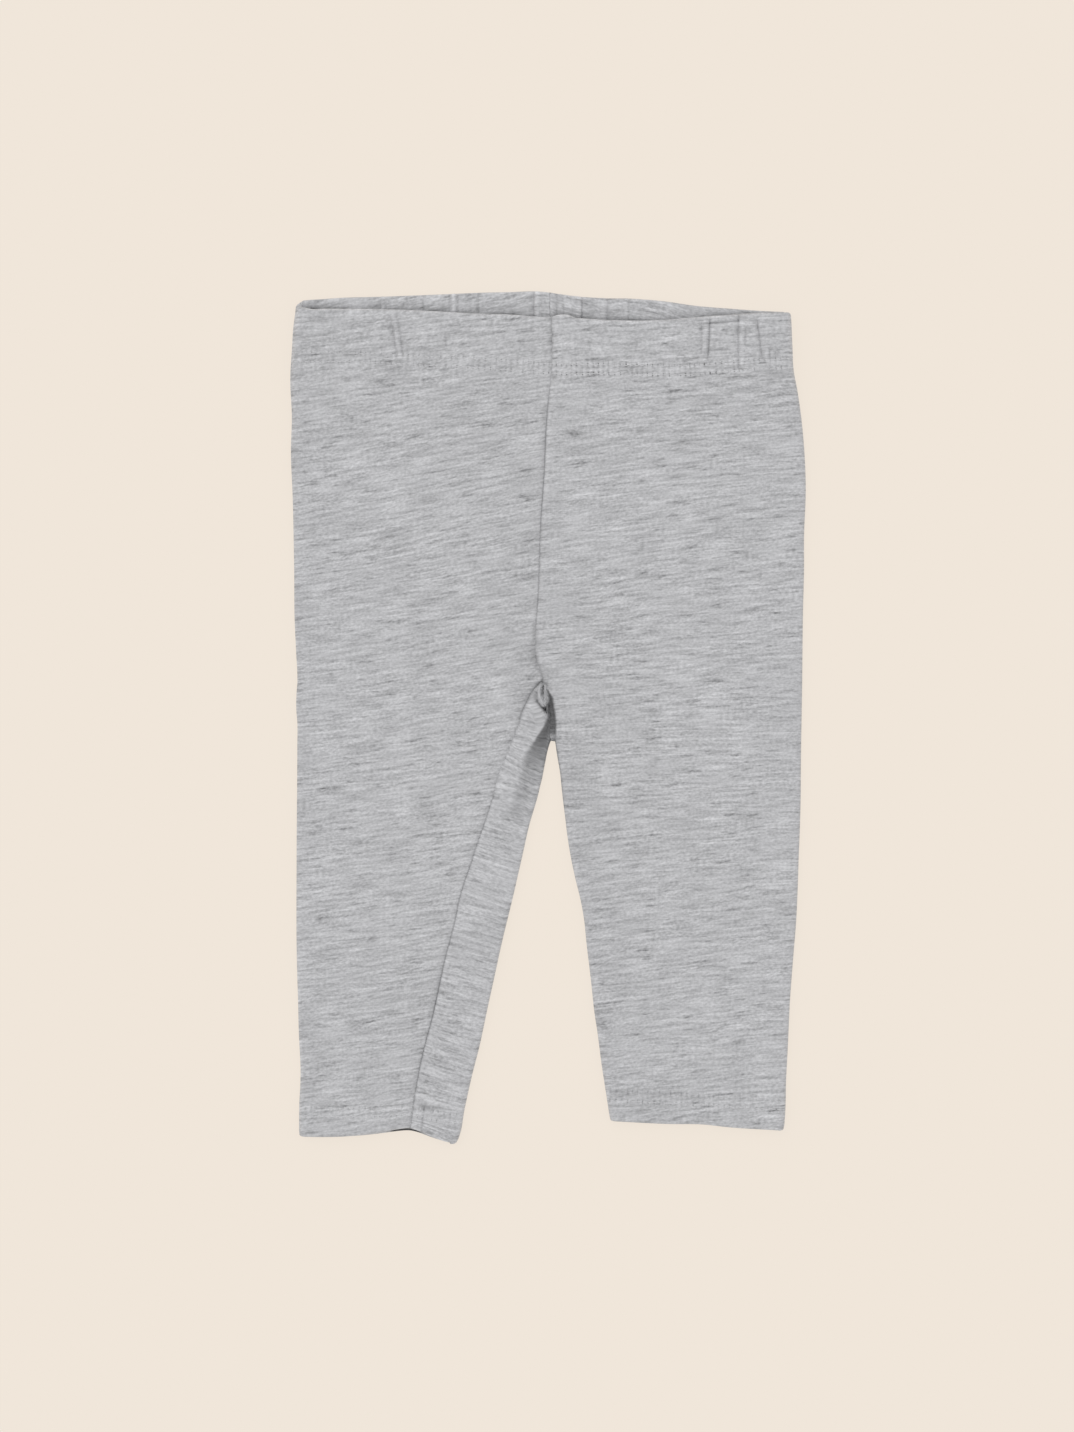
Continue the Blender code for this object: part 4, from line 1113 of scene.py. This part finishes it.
class Finish:
    """A material being put together from shader nodes."""

    def __init__(self, name):
        self.material = bpy.data.materials.new(name)
        self.material.use_nodes = True
        self.tree = self.material.node_tree
        self.tree.nodes.clear()

    def add(self, kind, settings, sockets, output=0):
        node = self.tree.nodes.new(kind)
        for name, value in settings.items():
            setattr(node, name, value)
        for name, value in sockets.items():
            if isinstance(value, Value):
                self.tree.links.new(value.socket, node.inputs[name])
            else:
                node.inputs[name].default_value = value
        return Value(self, node.outputs[output]) if node.outputs else None

    def axis(self, vector, name):
        return self.add("ShaderNodeSeparateXYZ", {}, {"Vector": vector}, name)

    def streaks(self, s, t, length, thickness, seed, detail):
        """Noise drawn out along the courses, in millimetres."""
        across = s * (PER_METRE / length) + 13.7 * seed
        along = t * (PER_METRE / thickness) + 7.3 * seed
        place = self.add("ShaderNodeCombineXYZ", {}, {"X": across, "Y": along})
        return self.add("ShaderNodeTexNoise", {"noise_dimensions": "2D"}, {
            "Vector": place, "Scale": 1.0, "Detail": detail, "Roughness": 0.55})

    def colour(self, *parts):
        return self.add("ShaderNodeCombineColor", {}, dict(zip(("Red", "Green", "Blue"), parts)))

    def finished(self, shader):
        """The material, with this shader on its surface."""
        self.add("ShaderNodeOutputMaterial", {}, {"Surface": shader})
        return self.material


TONE = 0.4815
TINT = (0.992, 0.992, 1.016)
SWAY = 1.2 * MM  # how far the courses wander
WALE, COURSE = 0.85, 0.62  # from one wale and one course of the knit to the next
GATHERED = (138.0, 142.0)  # from here up the elastic crinkles the jersey finely
# How strongly the long, short and flecked fibres and the dark slubs show in the tone, and how much
# their strength and the tone vary from place to place.
FIBRE, SHORT, FLECK, SLUB, PATCH, CLOUD = 0.395, 0.095, 0.285, 0.110, 0.8, 0.058
# How much the painted shade of the needles' holes and the puckers and the painted light and shade of
# the crinkle darken the tone, and how much the painted light on the needle rows and the cloth between
# them brightens it.
HOLE_SHADE, PUCKER_SHADE, CRINKLE_LIGHT_AND_SHADE, NEEDLE_LIGHT, LADDER_LIGHT = 0.54, 0.14, 0.27, 0.04, 0.02
# What each gives to the fine relief.
WALE_RISE, COURSE_RISE, FIBRE_RISE, FLECK_RISE = 0.35, 0.3, 1.5, 1.0
CRINKLE_RISE, HOLE_RISE, PUCKER_RISE = 4.0, -2.0, -1.2
THREAD_COLOUR = (0.60, 0.60, 0.61)
CREAM = (0.871, 0.791, 0.701)
GLOW = 0.88  # the share of the paper's light that is its own


def turns(length):
    """Radians of a wave for each metre, where it comes round in this many millimetres."""
    return 2 * math.pi * PER_METRE / length


def jersey_finish():
    """Light grey melange jersey: dark and light fibres drawn out along the courses, over a fine
    knit. s runs along the courses of the flat cut and t across them."""
    finish = Finish("grey_melange_jersey")
    uv = finish.add("ShaderNodeUVMap", {"uv_map": "cut"}, {})
    s, t = finish.axis(uv, "X"), finish.axis(uv, "Y")
    sway = finish.streaks(s, t, length=26, thickness=16, seed=1.0, detail=1.0) - 0.5
    t = t + sway * SWAY
    fibre = finish.streaks(s, t, length=14, thickness=1.28, seed=2.0, detail=2.0) - 0.5
    short = finish.streaks(s, t, length=7.7, thickness=1.05, seed=3.0, detail=1.0) - 0.5
    fleck = finish.streaks(s, t, length=1.37, thickness=0.74, seed=4.0, detail=1.0) - 0.5
    slub = finish.streaks(s, t, length=8.0, thickness=1.73, seed=5.0, detail=1.0).above(0.615, 0.774)
    patch = finish.streaks(s, t, length=22, thickness=9, seed=6.0, detail=1.0) - 0.5
    cloud = finish.streaks(s, t, length=34, thickness=18, seed=7.0, detail=1.0) - 0.5
    heather = fibre * FIBRE + short * SHORT + fleck * FLECK - slub * SLUB
    tone = TONE + heather * (1 + patch * PATCH) + cloud * CLOUD

    # The painted shade (painted light, where negative) that the pieces carry, and where their needle
    # rows and puckers lie.
    shade, needle, ladder = (
        finish.add("ShaderNodeAttribute", {"attribute_name": name}, {}, "Fac")
        for name in ("shade", "needle", "ladder")
    )
    wander = finish.streaks(s, t, length=11, thickness=40, seed=9.0, detail=0.0) * 5
    beat = (s * turns(STITCH) + wander).wave_from_top()
    pulled = finish.streaks(s, t, length=2.8, thickness=1.9, seed=11.0, detail=0.0).above(0.30, 0.66)
    hole = needle * beat.above(0.55, 1.0) * (pulled + 0.15)
    uneven = finish.streaks(s, t, length=7, thickness=30, seed=8.0, detail=1.0).above(0.36, 0.60)
    pucker = ladder * (beat * 0.5 + 0.5) * uneven
    # Painted light on the needle rows and between them, and painted shade in the puckers.
    stitch_light_and_shade = 1.0 + needle * NEEDLE_LIGHT + ladder * LADDER_LIGHT - pucker * PUCKER_SHADE
    tone = tone * (1 - shade) * ((1 - hole * HOLE_SHADE) * stitch_light_and_shade)

    place = finish.add("ShaderNodeTexCoord", {}, {}, "Object")
    gather = finish.axis(place, "Y").above(*(y * MM for y in GATHERED))
    crinkle = finish.streaks(s, t, length=2.4, thickness=3.4, seed=10.0, detail=1.0) - 0.5
    crinkle = crinkle * gather
    tone = tone * (1 + crinkle * CRINKLE_LIGHT_AND_SHADE)

    wale, course = (s * turns(WALE)).wave(), (t * turns(COURSE)).wave()
    knit = wale * WALE_RISE + course * COURSE_RISE + fibre * FIBRE_RISE + fleck * FLECK_RISE
    relief = knit + crinkle * CRINKLE_RISE + hole * HOLE_RISE + pucker * PUCKER_RISE
    bump = finish.add("ShaderNodeBump", {}, {"Height": relief, "Strength": 0.35, "Distance": 0.08 * MM})
    skin = finish.add("ShaderNodeBsdfPrincipled", {}, {
        "Base Color": finish.colour(*(tone * part for part in TINT)), "Roughness": 0.92, "Normal": bump,
        "Sheen Weight": 0.20, "Sheen Roughness": 0.5, "Specular IOR Level": 0.25})
    return finish.finished(skin)


def thread_finish():
    """Matt grey thread, slightly uneven."""
    finish = Finish("grey_polyester_thread")
    fine = finish.add("ShaderNodeTexNoise", {}, {"Scale": 900.0, "Detail": 2.0})
    amount = finish.add("ShaderNodeMapRange", {}, {"Value": fine, "To Min": 0.88, "To Max": 1.12})
    skin = finish.add("ShaderNodeBsdfPrincipled", {}, {
        "Base Color": finish.colour(*(amount * part for part in THREAD_COLOUR)),
        "Roughness": 0.7, "Specular IOR Level": 0.3})
    return finish.finished(skin)


def paper_finish():
    """Cream paper, part of whose light is its own, which keeps the shadows on it faint."""
    finish = Finish("cream_paper")
    skin = finish.add("ShaderNodeBsdfPrincipled", {}, {
        "Base Color": (*(part * (1 - GLOW) for part in CREAM), 1.0), "Roughness": 1.0,
        "Specular IOR Level": 0.0, "Emission Color": (*CREAM, 1.0), "Emission Strength": GLOW})
    return finish.finished(skin)


# ---------------------------------------------------------------- pieces


def make_mesh(name, points, faces, material, uv=None, looks=None):
    """A smooth piece, with its places on the cut and the looks that its finish reads."""
    mesh = bpy.data.meshes.new(name)
    mesh.from_pydata(points.tolist(), [], faces)
    if uv is not None:
        layer = mesh.uv_layers.new(name="cut")
        corners = np.zeros(len(mesh.loops), np.int32)
        mesh.loops.foreach_get("vertex_index", corners)
        layer.data.foreach_set("uv", uv[corners].astype(np.float32).ravel())
    for look, values in (looks or {}).items():
        layer = mesh.attributes.new(look, "FLOAT", "POINT")
        layer.data.foreach_set("value", values.astype(np.float32))
    mesh.materials.append(material)
    mesh.shade_smooth()
    piece = bpy.data.objects.new(name, mesh)
    bpy.context.scene.collection.objects.link(piece)
    return piece


HEM_CORNER, WAIST_CORNER = 1.5, 1.1  # how far the corners are rounded


def rounded(leg, points):
    """Points of a sheet with the corners of its hem and its waist rounded off."""
    x, y, z = points
    outer, inner = leg.outer(y), leg.inner(y)
    below = np.clip(hem_line(leg, x, 1.0) + HEM_CORNER - y, 0, HEM_CORNER)
    above = np.clip(y - np.maximum(front_top(x), back_top(x)) + WAIST_CORNER, 0, WAIST_CORNER)
    at_hem = HEM_CORNER - np.sqrt(HEM_CORNER**2 - below**2)
    at_waist = WAIST_CORNER - np.sqrt(WAIST_CORNER**2 - above**2)
    outside = ramp(leg.side * (x - outer), -3 * HEM_CORNER, 0)
    inside = ramp(leg.side * (inner - x), -3 * HEM_CORNER, 0) * (y < 0)
    return np.array([x - leg.side * ((at_hem + at_waist) * outside - at_hem * inside), y, z])


LEVEL_AT = -50.0  # where on the front, across the cut, the courses keep their own height


def cut_places(leg, data):
    """UV places of a sheet's points: its flat cut, on which the courses run level."""
    at, angle = np.array(leg.courses, float).T
    fine = np.linspace(at[0] - 40, at[-1] + 40, 800)
    slope = np.tan(np.radians(np.interp(fine, at, angle)))
    fall = np.concatenate([[0.0], np.cumsum(slope[1:] * np.diff(fine))])
    fall = np.interp(data[ACROSS], fine, fall - np.interp(LEVEL_AT, fine, fall))
    t = data[ALONG] - leg.side * fall * leg.slopes(data[ALONG])
    return np.array([data[ACROSS] + leg.cut_at, t]).T * MM


# How far inside the turned casing and hem their rows lie from the fold.
WAIST_DEPTHS = (*np.arange(0.6, 10.5, 0.6), 12.0, 15.0, 18.0, 21.0)
HEM_DEPTHS = (1.0, 3.0, 6.0, 9.0)


def leg_sheet(leg, cloth, nodes):
    """One leg's cut piece of jersey as it lies, with its casing and hem turned in."""
    rows, needle_rows = sheet_rows(leg)
    waist = turned(rows[0], CASING_RADIUS, 1, WAIST_DEPTHS, waist_inside)
    hem = turned(rows[-1], HEM_RADIUS, -1, HEM_DEPTHS, hem_inside)
    rows = waist[::-1] + rows + hem
    first = np.cumsum([0] + [row.shape[1] for row in rows])
    data = np.concatenate(rows, axis=1)
    data[POINT] = rounded(leg, data[POINT])
    faces = []
    for i in range(len(rows) - 1):
        for j in range(min(rows[i].shape[1], rows[i + 1].shape[1]) - 1):
            a, b = int(first[i]) + j, int(first[i + 1]) + j
            faces.append((a, b, b + 1, a + 1))
    looks = {"shade": np.clip(data[SHADE], -0.3, 0.9), "needle": data[NEEDLE], "ladder": data[LADDER]}
    name = f"{leg.name}_leg_cloth"
    piece = make_mesh(name, data[POINT].T * MM, faces, cloth, cut_places(leg, data), looks)
    thickness = piece.modifiers.new("thickness of the jersey", "SOLIDIFY")
    thickness.thickness = CLOTH * MM
    thickness.offset = 0.0
    thickness.use_quality_normals = True
    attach(piece, "root")
    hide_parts(*nodes)
    return piece, needle_rows


def tube_faces(base, rings, sides):
    """Faces of a closed tube, whose rings of points follow one another from number base."""
    faces = []
    last = base + (rings - 1) * sides
    for ring in range(base, last, sides):
        for i in range(sides):
            j = (i + 1) % sides
            faces.append((ring + i, ring + j, ring + sides + j, ring + sides + i))
    faces.append(tuple(range(base + sides - 1, base - 1, -1)))
    faces.append(tuple(range(last, last + sides)))
    return faces


STITCH_SHOWS = 1.6  # how much of a stitch lies on the cloth
STITCH_PLACES = (-0.5, -0.22, 0.22, 0.5)  # of its rings, as shares of that
STITCH_SIZES = (0.55, 1.0, 1.0, 0.55)
THREAD = 0.36  # across
THREAD_SIDES = 6
THREAD_SINKS = 0.02  # how far its middle lies under the cloth's face


def stitch_lines(row):
    """Centre lines of the stitches along a needle row of a sheet, on its measure across."""
    points = row[POINT] + row[OUTWARD] * (TURN - THREAD_SINKS)
    start, end = sorted((row[ACROSS, 0], row[ACROSS, -1]))
    along = row[ACROSS] if row[ACROSS, 0] < row[ACROSS, -1] else -row[ACROSS]
    lines = []
    for middle in np.arange(math.ceil(start / STITCH) + 0.5, end / STITCH - 0.5) * STITCH:
        at = middle + np.array(STITCH_PLACES) * STITCH_SHOWS
        line = np.array([np.interp(at, along, axis) for axis in points]).T
        line[:, Z] = np.maximum(line[:, Z], THREAD / 2)
        lines.append(line)
    return lines


def coverstitch(name, rows, material):
    """Stitches as short round threads that dive into the cloth at both ends."""
    points, faces = [], []
    for line in (line for row in rows for line in stitch_lines(row)):
        along = line[-1] - line[0]
        along /= np.linalg.norm(along)
        across = np.cross(along, (0.0, 1.0, 0.0))
        across /= np.linalg.norm(across)
        up = np.cross(across, along)
        faces += tube_faces(len(points), len(line), THREAD_SIDES)
        for centre, size in zip(line, STITCH_SIZES):
            for angle in 2 * math.pi * np.arange(THREAD_SIDES) / THREAD_SIDES:
                way = across * math.cos(angle) + up * math.sin(angle)
                points.append(centre + THREAD / 2 * size * way)
    piece = make_mesh(name, np.array(points) * MM, faces, material)
    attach(piece, "root")
    return piece


TUCK_SIDES = 14
TUCK_STEPS = 60
TUCK_LIES = 0.35  # the share of its radius by which it lies under the front's face
TUCK_SINKS = (0.15, 1.1)  # over this share of its length at each end, and how far
TUCK_CUT_AT = 300


def crotch_tuck(material):
    """The loop of cloth at the knot, as a round roll whose ends go down into the seam."""
    at = np.linspace(0, len(TUCK) - 1, TUCK_STEPS + 1)
    x, y, radius, shade = (smooth(list(enumerate(column)))(at) for column in zip(*TUCK))
    share = at / at[-1]
    ends, sinks = TUCK_SINKS
    sunk = ramp(share, ends, 0.0) + ramp(share, 1 - ends, 1.0)
    z = height(RIGHT, x, y) - TUCK_LIES * radius - sinks * sunk
    tx, ty = np.gradient(x), np.gradient(y)
    size = np.hypot(tx, ty)
    angle = np.linspace(0, 2 * math.pi, TUCK_SIDES, endpoint=False)
    side, up = radius[:, None] * np.cos(angle), radius[:, None] * np.sin(angle)
    across_x, across_y = (ty / size)[:, None], (tx / size)[:, None]
    rings = np.stack(
        [x[:, None] + side * across_x, y[:, None] - side * across_y, z[:, None] + up], axis=2
    )
    gone = np.concatenate([[0.0], np.cumsum(size[1:])])
    places = np.repeat(gone, TUCK_SIDES) + TUCK_CUT_AT, np.tile(angle, TUCK_STEPS + 1)
    faces = tube_faces(0, TUCK_STEPS + 1, TUCK_SIDES)
    looks = {"shade": np.repeat(shade, TUCK_SIDES)}
    uv = np.stack(places, axis=1) * MM
    piece = make_mesh("crotch_tuck", rings.reshape(-1, 3) * MM, faces, material, uv, looks)
    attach(piece, "root")
    return piece


cloth = jersey_finish()
thread = thread_finish()
right, right_needles = leg_sheet(RIGHT, cloth, ("leg_right", "waistband_right", "hem_right"))
left, left_needles = leg_sheet(LEFT, cloth, ("leg_left", "waistband_left", "hem_left"))
right_thread = coverstitch("right_coverstitch", right_needles, thread)
left_thread = coverstitch("left_coverstitch", left_needles, thread)
tuck = crotch_tuck(cloth)

# ---------------------------------------------------------------- table, light and camera

TABLE = 3.0  # metres from its middle to its edges
SINK = 0.1 * MM  # how far its top lies under the garment
mesh = bpy.data.meshes.new("table")
corners = [(-TABLE, -TABLE, 0), (TABLE, -TABLE, 0), (TABLE, TABLE, 0), (-TABLE, TABLE, 0)]
mesh.from_pydata(corners, [], [(0, 1, 2, 3)])
mesh.materials.append(paper_finish())
table = bpy.data.objects.new("table", mesh)
bpy.context.scene.collection.objects.link(table)
table.location.z = -SINK

AROUND = 0.90  # even light from all round; the rest comes from a soft window to the upper left
WINDOW_TILT, WINDOW_TURN, WINDOW_SOFT = 50.0, 225.0, 50.0  # degrees
world = bpy.data.worlds.new("studio")
world.use_nodes = True
background = world.node_tree.nodes["Background"]
background.inputs["Color"].default_value = (1, 1, 1, 1)
background.inputs["Strength"].default_value = AROUND
bpy.context.scene.world = world

lamp = bpy.data.lights.new("soft_window", "SUN")
lamp.angle = math.radians(WINDOW_SOFT)
lamp.energy = (1 - AROUND) * math.pi / math.cos(math.radians(WINDOW_TILT))
window = bpy.data.objects.new("soft_window", lamp)
window.rotation_euler = (math.radians(WINDOW_TILT), 0, math.radians(WINDOW_TURN))
bpy.context.scene.collection.objects.link(window)

PIXEL = 0.408 * MM  # of the garment to a pixel of the frame
FRAME_TALL = 1432  # pixels
MIDDLE = (537, 716)  # of the frame, in pixels to the right and down
ORIGIN_AT = (548, 717.5)  # where the part's origin shows
LENS, SENSOR = 85.0, 36.0
CLOTH_TOP = 3 * MM  # the height at which a pixel is as above
camera_data = bpy.data.cameras.new("camera")
camera_data.lens, camera_data.sensor_width = LENS, SENSOR
camera = bpy.data.objects.new("camera", camera_data)
camera.location = (
    (MIDDLE[0] - ORIGIN_AT[0]) * PIXEL,
    (ORIGIN_AT[1] - MIDDLE[1]) * PIXEL,
    FRAME_TALL * PIXEL * LENS / SENSOR + CLOTH_TOP,
)
bpy.context.scene.collection.objects.link(camera)
bpy.context.scene.camera = camera

bpy.context.scene.view_settings.view_transform = "Standard"
bpy.context.scene.view_settings.look = "None"
